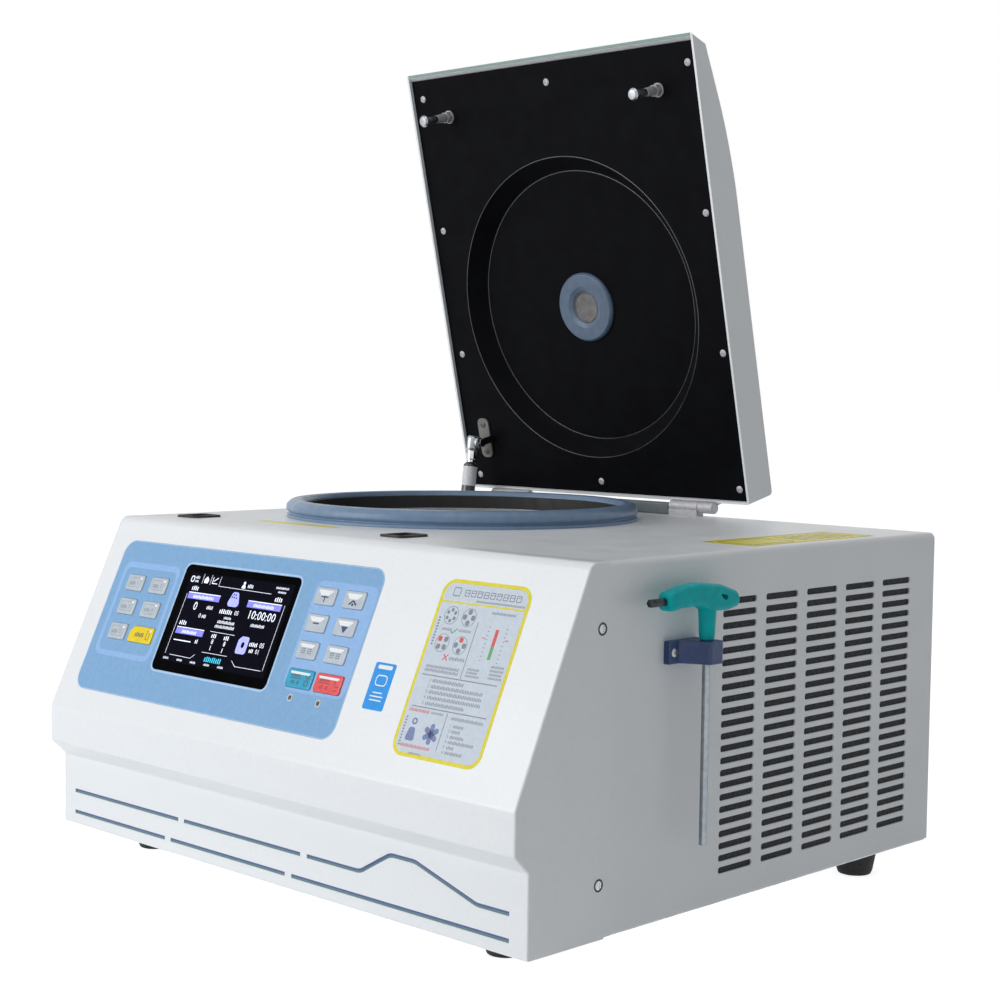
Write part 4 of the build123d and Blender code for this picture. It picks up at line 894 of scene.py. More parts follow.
def groove_line(stops, width=3.6, rounding=15.0):
    """Outline of a groove of even width along a line in X and Z."""
    bm = bmesh.new()
    draw_corners(
        bm, [(a, b, rounding if 0 < i < len(stops) - 1 else 0) for i, (a, b) in enumerate(stops)], 8, closed=False,
    )
    ends = [v for v in bm.verts if len(v.link_edges) == 1]
    line = [min(ends, key=lambda v: v.co.x)]
    edge = line[0].link_edges[0]
    while edge:
        line.append(edge.other_vert(line[-1]))
        onward = [e for e in line[-1].link_edges if e is not edge]
        edge = onward[0] if onward else None
    path = [v.co.copy() for v in line]
    bm.free()
    upper, lower = [], []
    for index, here in enumerate(path):
        ahead = (path[min(index + 1, len(path) - 1)] - here)
        back = (here - path[max(index - 1, 0)])
        if ahead.length < 1e-6:
            ahead = back
        if back.length < 1e-6:
            back = ahead
        mean = (ahead.normalized() + back.normalized()).normalized()
        side = Vector((-mean.y, mean.x, 0)) * width / 2 / max(0.5, mean.dot(ahead.normalized()))
        upper.append(here + side)
        lower.append(here - side)
    return [(p.x, p.y, 0) for p in lower + upper[::-1]]


def groove_lines():
    """Middle lines in X and Z of the grooves across the lower front."""
    left, right = -HALF_WIDTH + 19.5, HALF_WIDTH - 19.5
    z = 53.3
    lines = [
        [(left, z), (-124.5, z)],
        [(-115.9, z), (46.9, z)],
        [(55.5, z), (122, z), (158, z + 20.2), (187, z + 20.2), (256, z), (right, z)],
    ]
    z = 32.7
    lines += [[(left, z), (-144.8, z)], [(-136.2, z), (26.7, z)], [(35.3, z), (right, z)]]
    return lines


def key_table():
    """Name, place across and up the slope, width, height and upper left cut of every key."""
    keys = []
    for s in (131.0, 107.0, 82.0):
        for x in (-246.3, -209.1):
            if (x, s) != (-209.1, 82.0):
                keys.append((f"key_left_{len(keys) + 1}", x, s, 26.6, 15.8, 2.6))
    keys.append(("key_program", -208.4, 82.0, 36.7, 15.8, 5.5))
    for s in (142.6, 118.1, 93.6):
        for x in (27.0, 63.9):
            keys.append((f"key_right_{len(keys) - 5}", x, s, 26.6, 15.8, 2.6))
    keys.append(("key_start", 29.8, 68.3, 33.8, 16.6, 2.6))
    keys.append(("key_stop", 66.8, 68.3, 33.8, 16.6, 2.6))
    return keys


def key_windows():
    """Openings behind the two groups of keys."""
    groups = []
    for left in (True, False):
        keys = [k for k in key_table() if (k[1] < DISPLAY_CENTRE[0]) == left]
        x = (min(k[1] - k[3] / 2 for k in keys) - 1.2, max(k[1] + k[3] / 2 for k in keys) + 1.2)
        s = (min(k[2] - k[4] / 2 for k in keys) - 1.2, max(k[2] + k[4] / 2 for k in keys) + 1.2)
        groups.append((x, s))
    return groups


class CENTRIFUGE_OT_fascia(bpy.types.Operator):
    """Front moulding with its nose, slope, panel recess and grooves"""

    bl_idname = "centrifuge.fascia"
    bl_label = "Front moulding"

    def execute(self, context):
        sizes = context.scene.centrifuge_sizes
        body = moved(prism(fascia_corners(), -HALF_WIDTH, HALF_WIDTH, 8), ALONG_X)
        soften(
            body, sizes.moulding_round / METRE, 3,
            lambda p: abs(p.x) > HALF_WIDTH - 0.1 and p.y < SEAM_Y - 0.1 and p.z > BASE_Z + 0.1,
        )
        hollow = [
            (LOWER_FACE_Y + 2.5, BASE_Z - 1, 0), (SEAM_Y + 1, BASE_Z - 1, 0), (SEAM_Y + 1, DECK_Z - 2.5, 0),
            (-201.9, DECK_Z - 2.5, 8.0), (-282.5, 135.4, 5.5), (-282.5, 103.0, 1.0), (LOWER_FACE_Y + 2.5, 88.0, 1.0),
        ]
        cutters = [moved(prism(hollow, -HALF_WIDTH + 2.5, HALF_WIDTH - 2.5), ALONG_X)]
        recess = prism(box_corners(*PANEL_CENTRE, 375.4, 151.4, 14.2), -1.0, 4.0, 10)
        cutters.append(moved(recess, SLOPE))
        cutters.append(moved(slab((-172, -15), (57.5, 151.5), (-8, 1)), SLOPE))
        for x, s in key_windows():
            cutters.append(moved(slab(x, s, (-8, 1)), SLOPE))
        floors, shades = [], []
        for line in groove_lines():
            outline = groove_line(line)
            cutters.append(moved(prism(outline, -LOWER_FACE_Y - 1.0, -LOWER_FACE_Y + 2.0), ALONG_Y))
            floors.append(moved(prism(outline, -LOWER_FACE_Y - 0.98, -LOWER_FACE_Y - 0.9), ALONG_Y))
            # An indigo band along each groove's upper wall: painted shadow under its lip.
            upper = groove_line([(x, z + 0.95) for x, z in line], 1.6)
            shades.append(moved(prism(upper, -LOWER_FACE_Y - 0.9, -LOWER_FACE_Y - 0.5), ALONG_Y))
        body = carved(body, *cutters)
        finish_piece(body, "front_moulding", "moulding", "cabinet", ["front_fascia"], sharp=30)
        finish_piece(joined(*floors), "groove_floor", "grey_green_ink", "cabinet", even=False)
        finish_piece(joined(*shades), "groove_shade", "groove_painted_shadow", "cabinet", even=False)
        return {"FINISHED"}


def on_slope(bm):
    """The same shape, carried from the panel's own view to its place."""
    return moved(bm, SLOPE)


def line_shape(x, s, width, height, low, high):
    """Thin printed bar about its middle."""
    return slab((x - width / 2, x + width / 2), (s - height / 2, s + height / 2), (low, high))


def frame_shape(x, s, width, height, radius, border, low, high):
    """Printed outline of a rounded rectangle."""
    outer = box_corners(x, s, width, height, radius)
    inner = box_corners(x, s, width - 2 * border, height - 2 * border, max(radius - border, 0.05))
    return plate([outer, inner], low, high, 6)


def print_on(shapes, name, finish, body="cabinet"):
    """Print on the slope, from shapes drawn across and up it."""
    return finish_piece(on_slope(joined(*shapes)), name, finish, body, even=False)


def key_corners(x, s, width, height, cut):
    """Outline of a key; a large cut takes its upper left corner off."""
    if cut < 3:
        return box_corners(x, s, width, height, 2.2)
    left, right, low, high = x - width / 2, x + width / 2, s - height / 2, s + height / 2
    return [(left, low, 2.2), (right, low, 2.2), (right, high, 2.2), (left + cut, high, 1.2), (left, high - cut, 1.2)]


def writing(left, right, s, height, low, high):
    """Row of small blocks in place of a line of writing."""
    count = max(1, round((right - left) / (0.6 * height)))
    pitch = (right - left) / count
    blocks = []
    for n in range(count):
        top = s + height * (0.5 if n % 3 else 0.32)
        blocks.append(slab((left + pitch * n, left + pitch * (n + 0.5)), (s - height / 2, top), (low, high)))
    return blocks


def stroke(start, end, width, low, high):
    """Thin printed line between two places."""
    run = Vector((end[0] - start[0], end[1] - start[1], 0))
    line = slab((0, run.length), (-width / 2, width / 2), (low, high))
    turn = Matrix.Rotation(math.atan2(run.y, run.x), 4, "Z")
    return moved(line, Matrix.Translation((*start, 0)) @ turn)


class CENTRIFUGE_OT_panel(bpy.types.Operator):
    """Foil of the control panel with its printed fields and lamp windows"""

    bl_idname = "centrifuge.panel"
    bl_label = "Control panel foil"

    def execute(self, context):
        outlines = [box_corners(*PANEL_CENTRE, 375.0, 151.0, 14.0), box_corners(*DISPLAY_CENTRE, 166.4, 103.4, 6.2)]
        outlines += [key_corners(x, s, width + 0.5, height + 0.5, cut) for _, x, s, width, height, cut in key_table()]
        finish_piece(
            on_slope(plate(outlines, -1.0, 0.0, 8)), "panel_foil", "foil", "cabinet",
            ["panel_overlay"], even=False,
        )
        right_field = [box_corners(50.2, 106.7, 79.6, 99.5, 9.0)] + outlines[8:]
        print_on([plate(right_field, 0.0, PRINT, 6)], "light_field", "light_foil")
        left_frame = [box_corners(-228.2, 104.5, 88.6, 94.6, 9.0), box_corners(-228.2, 104.2, 79.2, 83.6, 6.0)]
        print_on([plate(left_frame, 0.0, PRINT, 6)], "left_frame", "light_foil")
        display_frame = frame_shape(*DISPLAY_CENTRE, 170.6, 107.6, 8.4, 2.0, 0.0, PRINT)
        print_on([display_frame], "display_border", "pale_foil")
        edge = frame_shape(*PANEL_CENTRE, 374.6, 150.6, 13.8, 0.7, 0.0, PRINT)
        print_on([edge], "foil_edge", "pale_foil")
        lamps, rims = [], []
        for x, s in ((25.3, 51.0), (61.9, 50.6)):
            lamps.append(
                moved(
                    lathe([(0, 1.3, 0), (1.8, 0.7, 0.5), (2.0, 0, 0), (0, 0, 0)], steps=32),
                    Matrix.Translation((x, s, 0)),
                )
            )
            rims.append(
                moved(
                    lathe([(2.05, 0, 0), (3.5, 0, 0), (3.3, 0.5, 0.2), (2.2, 0.6, 0.2)], steps=32),
                    Matrix.Translation((x, s, 0)),
                )
            )
        print_on(lamps, "signal_lamps", "dark_plastic")
        print_on(rims, "lamp_rims", "light_plastic")
        return {"FINISHED"}


class CENTRIFUGE_OT_display(bpy.types.Operator):
    """Touch display with its glass and what it shows"""

    bl_idname = "centrifuge.display"
    bl_label = "Display"

    def execute(self, context):
        glass = plate([box_corners(*DISPLAY_CENTRE, 166.0, 103.0, 6.0)], -1.0, 0.5, 8)
        glass = soften(glass, 0.4, 2, lambda p: p.z > 0.4)
        body = slab((-171, -16), (58.5, 150.5), (-11.5, -1.0))
        glass = on_slope(joined(glass, body))
        finish_piece(glass, "display_glass", "screen", "cabinet", ["display_module"])
        print_on(
            [plate([box_corners(-91.4, 105.6, 149.6, 86.2, 0.6)], 0.5, 0.52)], "screen_field", "screen_field",
        )
        low, high = 0.52, 0.56
        bars = [line_shape(-136.6, 126.4, 47.2, 5.6, low, high), line_shape(-48.6, 126.0, 46.8, 5.6, low, high)]
        bars.append(line_shape(-138.9, 92.4, 40.6, 5.6, low, high))
        print_on(bars, "screen_bars", "violet_glow")
        bell = [(-101.4, 121.4, 3.4), (-82.8, 121.4, 3.4), (-88.6, 135.2, 3.0), (-96.6, 135.2, 3.0)]
        gaps = [
            box_corners(x, y, 1.7, 1.7, 0.5)
            for x, y in ((-94.8, 133.0), (-91.6, 132.6), (-93.4, 130.0), (-90.2, 129.8), (-96.4, 130.4))
        ]
        sheet = [(-66.4, 80.2, 2.4), (-52.2, 80.2, 3.2), (-52.4, 96.4, 2.6), (-62.6, 96.4, 2.2), (-66.6, 92.6, 2.2)]
        icons = [plate([bell, *gaps], low, high), plate([sheet, box_corners(-58.9, 88.6, 4.2, 5.4, 1.8)], low, high)]
        print_on(icons, "screen_icons", "lilac_glow")
        words = [
            text("10:00:00", 11.4, -47.4, 116.4, low, high), text("0", 11.4, -143.9, 116.8, low, high),
            text("05", 6.4, -33.0, 90.6, low, high), text("01", 5.8, -36.4, 84.5, low, high),
            text("0", 6.0, -132.8, 108.7, low, high), text("05", 6.0, -82.4, 115.9, low, high),
            text("8", 6.4, -101.9, 86.8, low, high), text("8", 6.4, -84.1, 86.4, low, high),
        ]
        print_on(words, "screen_figures", "white_glow")
        marks = [line_shape(-136.6, 129.6, 47.4, 0.8, low, high), line_shape(-48.6, 129.2, 46.8, 0.8, low, high)]
        marks.append(line_shape(-138.9, 95.8, 40.6, 0.8, low, high))
        lines = (
            (-158.0, -147.5, 133.9, 4.2), (-37.0, -26.2, 133.7, 4.2), (-158.0, -147.0, 100.2, 4.2),
            (-126.8, -117.5, 117.4, 3.4), (-129.2, -123.0, 108.7, 3.2), (-126.0, -121.6, 84.7, 3.8),
            (-57.6, -38.2, 107.4, 2.8), (-97.4, -86.8, 110.2, 2.4), (-104.5, -79.9, 106.0, 2.8),
            (-106.0, -78.0, 101.6, 2.8), (-106.8, -88.0, 115.9, 4.2), (-105.6, -98.2, 92.3, 3.8),
            (-87.4, -79.8, 92.1, 3.8), (-50.0, -38.4, 90.4, 3.8), (-47.7, -41.6, 84.5, 3.4),
            (-157.4, -151.4, 144.4, 2.6), (-157.4, -151.8, 140.6, 2.2), (-79.8, -71.5, 142.4, 3.4),
            (-40.8, -22.9, 144.4, 2.0), (-36.4, -25.2, 140.6, 1.8),
        )
        for left, right, s, height in lines:
            marks += writing(left, right, s, height, low, high)
        for x in (-159.0, -138.4, -118.3, -98.0, -78.1):
            marks += writing(x - 4.4, x + 3.8, 65.2, 2.0, low, high)
        for left, right, s, height in (
            (-152.0, -121.0, 126.0, 3.0), (-63.0, -34.0, 125.6, 3.0), (-150.0, -128.0, 92.0, 3.0),
        ):
            marks += writing(left, right, s, height, high, high + 0.03)
        runs = (
            ((-121.2, 138.6), (-44.7, 138.0)), ((-109.7, 96.1), (-74.3, 95.9)), ((-111.2, 76.1), (-75.1, 76.1)),
            ((-155.8, 69.0), (-124.8, 68.6)), ((-124.8, 68.6), (-119.6, 72.7)), ((-66.1, 73.0), (-59.6, 68.4)),
            ((-59.6, 68.4), (-23.4, 68.6)), ((-163.2, 69.3), (-162.3, 128.0)), ((-21.2, 68.9), (-21.2, 129.3)),
            ((-146.5, 138.8), (-146.5, 148.4)), ((-134.6, 138.8), (-134.6, 148.2)), ((-120.9, 138.8), (-120.9, 148.0)),
            ((-101.7, 78.8), (-101.7, 83.2)), ((-84.3, 78.2), (-84.3, 82.6)), ((-131.6, 140.4), (-124.2, 140.4)),
            ((-131.6, 140.4), (-131.6, 146.4)), ((-130.0, 142.2), (-127.6, 144.4)), ((-127.6, 144.4), (-124.6, 146.0)),
        )
        for index, (start, end) in enumerate(runs):
            marks.append(stroke(start, end, 0.4 if index < 12 else 0.8, low, high))
        marks.append(line_shape(-145.1, 83.3, 25.6, 1.0, low, high))
        marks.append(frame_shape(-161.6, 142.4, 5.4, 6.2, 2.2, 1.1, low, high))
        marks.append(
            plate(
                [[(-143.6, 139.8, 0), (-138.2, 139.8, 0), (-137.6, 143.2, 0), (-140.9, 146.4, 0), (-144.4, 143.2, 0)]],
                low, high,
            )
        )
        marks.append(plate([box_corners(-85.5, 144.6, 3.0, 3.0, 1.4)], low, high, 3))
        marks.append(
            plate([[(-88.6, 139.6, 0.6), (-82.4, 139.6, 0.6), (-84.0, 143.0, 0.4), (-87.0, 143.0, 0.4)]], low, high, 3)
        )
        print_on(marks, "screen_marks", "white_glow")
        print_on(writing(-104.3, -79.7, 70.3, 4.8, low, high), "screen_status", "cyan_glow")
        return {"FINISHED"}


def key_cap(width, height, cut, dome):
    """Key with its upper left corner cut back and a domed top."""
    bm = prism(key_corners(0, 0, width, height, cut), -4.3, 1.3, 4)
    tops = [f for f in bm.faces if f.calc_center_median().z > 1.2]
    rim = list({e for f in tops for e in f.edges})
    bmesh.ops.bevel(
        bm, geom=rim, offset=dome, offset_type="WIDTH", segments=5, profile=0.62, affect="EDGES",
        clamp_overlap=True, material=-1,
    )
    return bm


def key_signs(name, x, s, width):
    """Plain signs on a key: figures, plus, minus and arrows."""
    low, high = 1.3, 1.3 + 0.06
    if name.startswith("key_left"):
        signs = [frame_shape(x - 0.5, s + 0.2, 18.0, 9.6, 1.6, 0.35, low, high)]
        return signs + writing(x - 7.6, x + 1.6, s - 0.6, 3.9, low, high) + [
            text(name[-1], 5.8, x + 4.6, s - 0.4, low, high)
        ]
    if name == "key_program":
        return [frame_shape(x + 11.4, s, 4.8, 8.8, 1.4, 0.6, low, high)] + writing(
            x - 8.6, x + 5.6, s - 0.4, 4.2, low, high,
        )
    if name == "key_right_1":
        return [line_shape(x, s - 0.8, 9.0, 1.2, low, high), line_shape(x, s - 1.6, 1.2, 7.4, low, high)]
    if name == "key_right_2":
        roof = [
            stroke((x - 4.6, s - 4.6), (x - 1.2, s - 1.8), 1.6, low, high),
            stroke((x + 1.2, s - 1.8), (x + 4.6, s - 4.6), 1.6, low, high),
        ]
        return roof + [
            line_shape(x, s - 1.4, 3.4, 1.6, low, high), plate([box_corners(x, s - 4.4, 2.8, 2.4, 1.1)], low, high, 3),
        ]
    if name == "key_right_3":
        return [line_shape(x, s - 0.4, 7.6, 1.3, low, high)]
    if name == "key_right_4":
        return [plate([[(x - 4.4, s + 0.6, 0.3), (x, s - 5.6, 0.3), (x + 4.4, s + 0.6, 0.3)]], low, high)]
    if name in ("key_right_5", "key_right_6"):
        signs = []
        for across in (-3.9, 3.9):
            signs += [line_shape(x + across, s + rise, 5.2, 0.6, low, high) for rise in (0.9, -0.9, -2.9)]
            signs += [line_shape(x + across + shift, s - 1.0, 0.6, 5.0, low, high) for shift in (-1.6, 1.4)]
        return signs
    signs = writing(x - 10.6, x + 1.4, s + 2.9, 3.4, low, high) + [line_shape(x - 4.4, s - 0.1, 14.6, 0.6, low, high)]
    signs += writing(x - 8.8, x - 4.4, s - 3.6, 3.2, low, high) + writing(x - 1.4, x + 1.8, s - 3.6, 3.2, low, high)
    if name == "key_start":
        for rise in (3.2, -3.2):
            signs.append(
                plate(
                    [box_corners(x + 10.2, s + rise, 5.4, 5.2, 2.4), box_corners(x + 10.2, s + rise, 3.8, 3.6, 1.6)],
                    low, high,
                )
            )
        return signs
    return signs + [
        line_shape(x + 8.6, s + 2.0, 0.6, 4.6, low, high), line_shape(x + 11.6, s - 1.6, 4.6, 0.6, low, high),
        line_shape(x + 10.6, s - 5.0, 3.6, 0.8, low, high),
    ]


class CENTRIFUGE_OT_keys(bpy.types.Operator):
    """Domed keys, each with its sign and a white plate along its upper edge: a painted highlight of the dome's gloss"""

    bl_idname = "centrifuge.keys"
    bl_label = "Keys"

    def execute(self, context):
        dome = context.scene.centrifuge_sizes.key_dome / METRE
        kinds = {"key_program": ("key_yellow",) * 2, "key_start": ("key_teal",) * 2, "key_stop": ("key_red",) * 2}
        for name, x, s, width, height, cut in key_table():
            finish, slot = kinds.get(name, ("key_grey", "key_grey"))
            cap = moved(key_cap(width, height, cut, dome), Matrix.Translation((x, s, 0)))
            finish_piece(on_slope(cap), name + "_cap", finish, name, [name], even=False)
            ink = "navy_ink" if name[:-1] == "key_right_" and name[-1] in "1234" else "soft_ink"
            if slot != "key_grey":
                ink = "dark_ink"
            print_on(key_signs(name, x, s, width), name + "_sign", ink, name)
            # The white plate below stands for the gloss on the dome's upper edge: a painted highlight.
            top = s + height / 2 - dome - 0.3
            right = x + width / 2 - dome - 0.6
            if name.startswith("key_left") or name == "key_program":
                strip = [
                    (right - 4.6, top, 0.8), (right, top, 0.8), (right - 0.4, top - 2.0, 0.6),
                    (right - 3.2, top - 2.0, 0.6),
                ]
            else:
                left = x - width / 2 + dome + max(0.6, cut - dome)
                deep = {"1": 5.0, "2": 5.0, "3": 4.2, "4": 4.4, "5": 3.2, "6": 3.4}.get(name[-1], 2.2)
                strip = [
                    (left, top, 0.8), (right, top, 0.8), (right - 1.3 * deep, top - deep, 0.9),
                    (left + deep, top - deep, 0.9),
                ]
            print_on([plate([strip], 1.3, 1.3 + PRINT)], name + "_painted_highlight", "key_painted_highlight", name)
        return {"FINISHED"}


class CENTRIFUGE_OT_labels(bpy.types.Operator):
    """Vinyl labels on the slope and the deck, left plain or with generic marks"""

    bl_idname = "centrifuge.labels"
    bl_label = "Labels"

    def execute(self, context):
        low, high = 0.0, PRINT
        blue = plate([box_corners(126.9, 74.0, 24.6, 40.0, 2.0)], low, high, 5)
        print_on([blue], "blue_sticker", "blue_vinyl")
        low, high = PRINT, PRINT + 0.05
        white = [plate([box_corners(126.9, 90.3, 17.0, 3.4, 1.4)], low, high, 5)]
        white += [frame_shape(126.9, 79.0, 13.5, 9.5, 3.5, 1.0, low, high)]
        white += [
            line_shape(126.9, s, width, 1.0, low, high) for s, width in ((68.6, 11.0), (65.4, 15.0), (62.2, 14.0))
        ]
        print_on(white, "sticker_marks", "white_ink")
        border = plate([box_corners(*CARD_CENTRE, 98.6, 148.6, 13.0)], 0.0, PRINT, 8)
        print_on([border], "card_border", "yellow_vinyl")
        card = plate([box_corners(*CARD_CENTRE, 92.2, 142.2, 10.0)], PRINT, high, 8)
        print_on([card], "instruction_card", "card_vinyl")
        low, high = high, high + 0.05
        marks, greens, reds = [], [], []
        print_on([line_shape(211.5, 152.2, 92.2, 1.5, low, high)], "card_divider", "yellow_vinyl")
        for x, s, dots in ((181.0, 141.1, 6), (201.0, 141.0, 4), (180.6, 117.7, 4), (200.8, 117.5, 4)):
            marks.append(plate([box_corners(x, s, 15.6, 15.6, 7.8), box_corners(x, s, 14.6, 14.6, 7.3)], low, high, 6))
            size = 3.2 if dots == 6 else 4.4
            for n in range(dots):
                angle = (n + 0.5 * (x < 190)) * 2 * math.pi / dots
                px, ps = x + 4.6 * math.cos(angle), s + 4.6 * math.sin(angle)
                blob = plate([box_corners(px, ps, size, size, 1.5)], low, high, 3)
                (reds if s < 130 and n == 1 else marks).append(blob)
        lines = (
            (203.4, 256.8, 154.9, 1.8), (175.8, 187.0, 129.3, 2.4), (194.7, 208.2, 129.5, 2.4),
            (193.9, 211.4, 106.1, 2.8), (223.7, 250.4, 147.2, 2.2), (171.4, 208.6, 97.6, 2.4),
            (171.2, 209.0, 94.4, 2.4), (217.0, 230.2, 99.9, 1.9), (216.8, 229.0, 97.2, 1.9), (216.5, 232.0, 94.4, 1.9),
            (241.0, 255.2, 104.6, 2.0), (241.0, 255.4, 101.4, 2.0), (241.2, 254.6, 98.4, 2.0),
            (241.2, 255.8, 95.4, 2.0), (184.0, 219.0, 86.4, 2.9), (184.0, 241.7, 81.5, 2.9), (184.0, 242.4, 77.0, 2.9),
            (184.0, 243.2, 72.4, 2.9), (184.0, 227.3, 67.6, 2.9), (194.0, 207.4, 60.8, 2.0), (217.0, 252.1, 59.3, 2.6),
            (221.4, 233.2, 53.4, 2.6), (221.4, 231.0, 49.2, 2.6), (221.4, 236.8, 44.9, 2.6), (221.4, 249.0, 40.7, 2.6),
            (221.4, 229.6, 36.4, 2.6), (221.4, 240.3, 32.2, 2.6), (183.4, 197.0, 26.6, 1.6),
        )
        for left, right, s, height in lines:
            marks += writing(left, right, s, height, low, high)
        for n in range(5):
            marks.append(text(str(n + 1), 4.0, 181.0, 86.4 - 4.7 * n, low, high))
        for n in range(6):
            marks.append(text(str(n + 1), 3.6, 218.6, 53.4 - 4.25 * n, low, high))
        for n in range(9):
            marks += [
                line_shape(226.8, 108.2 + 3.45 * n, 1.8, 0.6, low, high),
                line_shape(245.4, 107.8 + 3.5 * n, 1.8, 0.6, low, high),
            ]
        for n in range(10):
            marks.append(line_shape(169.4, 115.8 + 2.5 * n, 2.2, 1.4, low, high))
            marks.append(line_shape(169.4, 32.0 + 2.5 * n, 2.0, 1.3, low, high))
        marks += [frame_shape(179.3, 161.0, 8.4, 7.6, 1.2, 0.8, low, high)]
        for n in range(9):
            marks.append(frame_shape(191.0 + 7.1 * n, 160.8, 5.4, 5.6, 0.4, 0.7, low, high))
            marks.append(line_shape(191.0 + 7.1 * n, 160.8 + 0.4 * (n % 3), 4.2, 0.6, low, high))
        marks += [line_shape(212.6, 115.0, 0.7, 47.4, low, high), line_shape(211.5, 90.3, 83.4, 0.8, low, high)]
        marks += [line_shape(211.4, 63.9, 83.0, 0.8, low, high), line_shape(211.5, 47.4, 0.7, 30.6, low, high)]
        print_on(marks, "card_marks", "card_ink")
        reds.append(line_shape(235.6, 127.4, 3.4, 13.8, low, high))
        reds += [
            stroke((186.6, 103.8), (192.0, 109.0), 0.9, low, high),
            stroke((186.6, 109.0), (192.0, 103.8), 0.9, low, high),
        ]
        reds += [line_shape(223.5, 126.3, 3.8, 0.8, low, high), line_shape(248.3, 126.5, 3.8, 0.8, low, high)]
        reds += writing(169.0, 192.1, 60.9, 2.6, low, high) + writing(171.0, 204.5, 32.0, 2.6, low, high)
        print_on(reds, "card_red_marks", "red_ink")
        greens.append(line_shape(235.6, 115.0, 3.4, 10.8, low, high))
        greens += [
            stroke((185.8, 128.6), (188.0, 126.4), 1.0, low, high),
            stroke((188.0, 126.4), (192.8, 131.0), 1.0, low, high),
        ]
        print_on(greens, "card_green_marks", "green_ink")
        pictures = [
            plate([[(173.4, 36.0, 2.0), (184.0, 36.0, 2.0), (182.0, 47.0, 2.4), (175.6, 47.0, 2.4)]], low, high, 4)
        ]
        pictures += [
            plate([box_corners(179.2, 52.0, 6.0, 5.6, 2.7), box_corners(179.2, 52.0, 3.0, 2.8, 1.3)], low, high, 4)
        ]
        for n in range(3):
            arm = plate([box_corners(0, 0, 17.0, 4.6, 2.0)], low + 0.01 * n, high, 4)
            pictures.append(
                moved(
                    arm, Matrix.Translation((200.4, 44.0, 0)) @ Matrix.Rotation(n * math.pi / 3 + math.pi / 6, 4, "Z"),
                )
            )
        print_on(pictures, "card_pictures", "picture_ink")
        top = Matrix.Translation((0, 0, DECK_Z))
        deck_plate = moved(plate([box_corners(268.0, 111.0, 60.0, 188.0, 3.0)], 0.0, PRINT, 4), top)
        finish_piece(deck_plate, "deck_label", "yellow_vinyl", "cabinet", even=False)
        inner = [frame_shape(268.0, 111.0, 54.0, 182.0, 2.0, 1.2, PRINT, PRINT + 0.05)]
        inner += [frame_shape(268.0, 60.0, 40.0, 62.0, 2.0, 1.4, PRINT, PRINT + 0.05)]
        inner += [line_shape(268.0, 112.0 + 12.0 * n, 36.0, 3.0, PRINT, PRINT + 0.05) for n in range(7)]
        finish_piece(moved(joined(*inner), top), "deck_label_marks", "dark_ink", "cabinet", even=False)
        strip = moved(plate([box_corners(-121.0, -135.0, 110.0, 13.0, 1.0)], 0.0, PRINT, 3), top)
        finish_piece(strip, "deck_strip", "yellow_vinyl", "cabinet", even=False)
        return {"FINISHED"}


class CENTRIFUGE_OT_latches(bpy.types.Operator):
    """Latch inserts in the deck, with their throats"""

    bl_idname = "centrifuge.latches"
    bl_label = "Latch inserts"

    def execute(self, context):
        parts = []
        for x in LATCH_XS:
            rim = plate(
                [box_corners(x, LATCH_Y, 31.0, 35.0, 6.0), box_corners(x, LATCH_Y, *LATCH_MOUTH)], DECK_Z, DECK_Z + 2.0,
                5,
            )
            parts.append(soften(rim, 0.5, 2, lambda p: p.z > DECK_Z + 1.9))
            sleeve = [box_corners(x, LATCH_Y, *LATCH_OPENING), box_corners(x, LATCH_Y, *LATCH_MOUTH)]
            parts.append(plate(sleeve, DECK_Z - 15.0, DECK_Z, 4))
        finish_piece(joined(*parts), "latch_mouths", "matt_black", "cabinet", ["latch_inserts"])
        return {"FINISHED"}


class CENTRIFUGE_OT_chamber(bpy.types.Operator):
    """Sealing ring round the chamber and the steel bowl inside it"""

    bl_idname = "centrifuge.chamber"
    bl_label = "Sealing ring and bowl"

    def execute(self, context):
        steps = context.scene.centrifuge_sizes.seal_steps
        profile = [
            (160.0, DECK_Z - 1.5, 0), (162.7, DECK_Z - 1.5, 0), (162.7, DECK_Z, 0), (177.4, DECK_Z, 0.6),
            (177.4, DECK_Z + 2.6, 1.0), (174.6, DECK_Z + 3.6, 0.8), (174.8, DECK_Z + 4.8, 1.0),
            (178.0, DECK_Z + 7.0, 2.6), (177.6, DECK_Z + 12.5, 4.5), (172.6, DECK_Z + 17.0, 5.0),
            (163.6, DECK_Z + 17.0, 3.4), (160.0, DECK_Z + 13.0, 2.4),
        ]
        ring = lathe(profile, CHAMBER, steps, 6)
        finish_piece(ring, "sealing_ring", "silicone", "cabinet", ["seal_ring"], sharp=50)
        # A matt black sleeve over the ring's inner wall: painted shade in the chamber's mouth.
        sleeve = [
            (159.0, DECK_Z - 1.4, 0.3), (159.9, DECK_Z - 1.4, 0), (159.9, DECK_Z + 12.0, 0),
            (159.0, DECK_Z + 11.4, 0.4),
        ]
        finish_piece(lathe(sleeve, CHAMBER, steps, 4), "chamber_mouth_painted_shade", "matt_black", "cabinet")
        bowl = [
            (38.0, 118.0, 0.6), (133.0, 118.0, 9.0), (158.0, 143.0, 12.0), (158.0, 313.5, 0), (196.0, 313.5, 0),
            (196.0, 312.0, 0), (159.5, 312.0, 0), (159.5, 142.4, 10.0), (133.6, 116.5, 8.0), (38.0, 116.5, 0.6),
        ]
        finish_piece(
            lathe(bowl, CHAMBER, steps, 6), "chamber_bowl", "chamber", "cabinet", ["bowl"], sharp=50,
        )
        return {"FINISHED"}


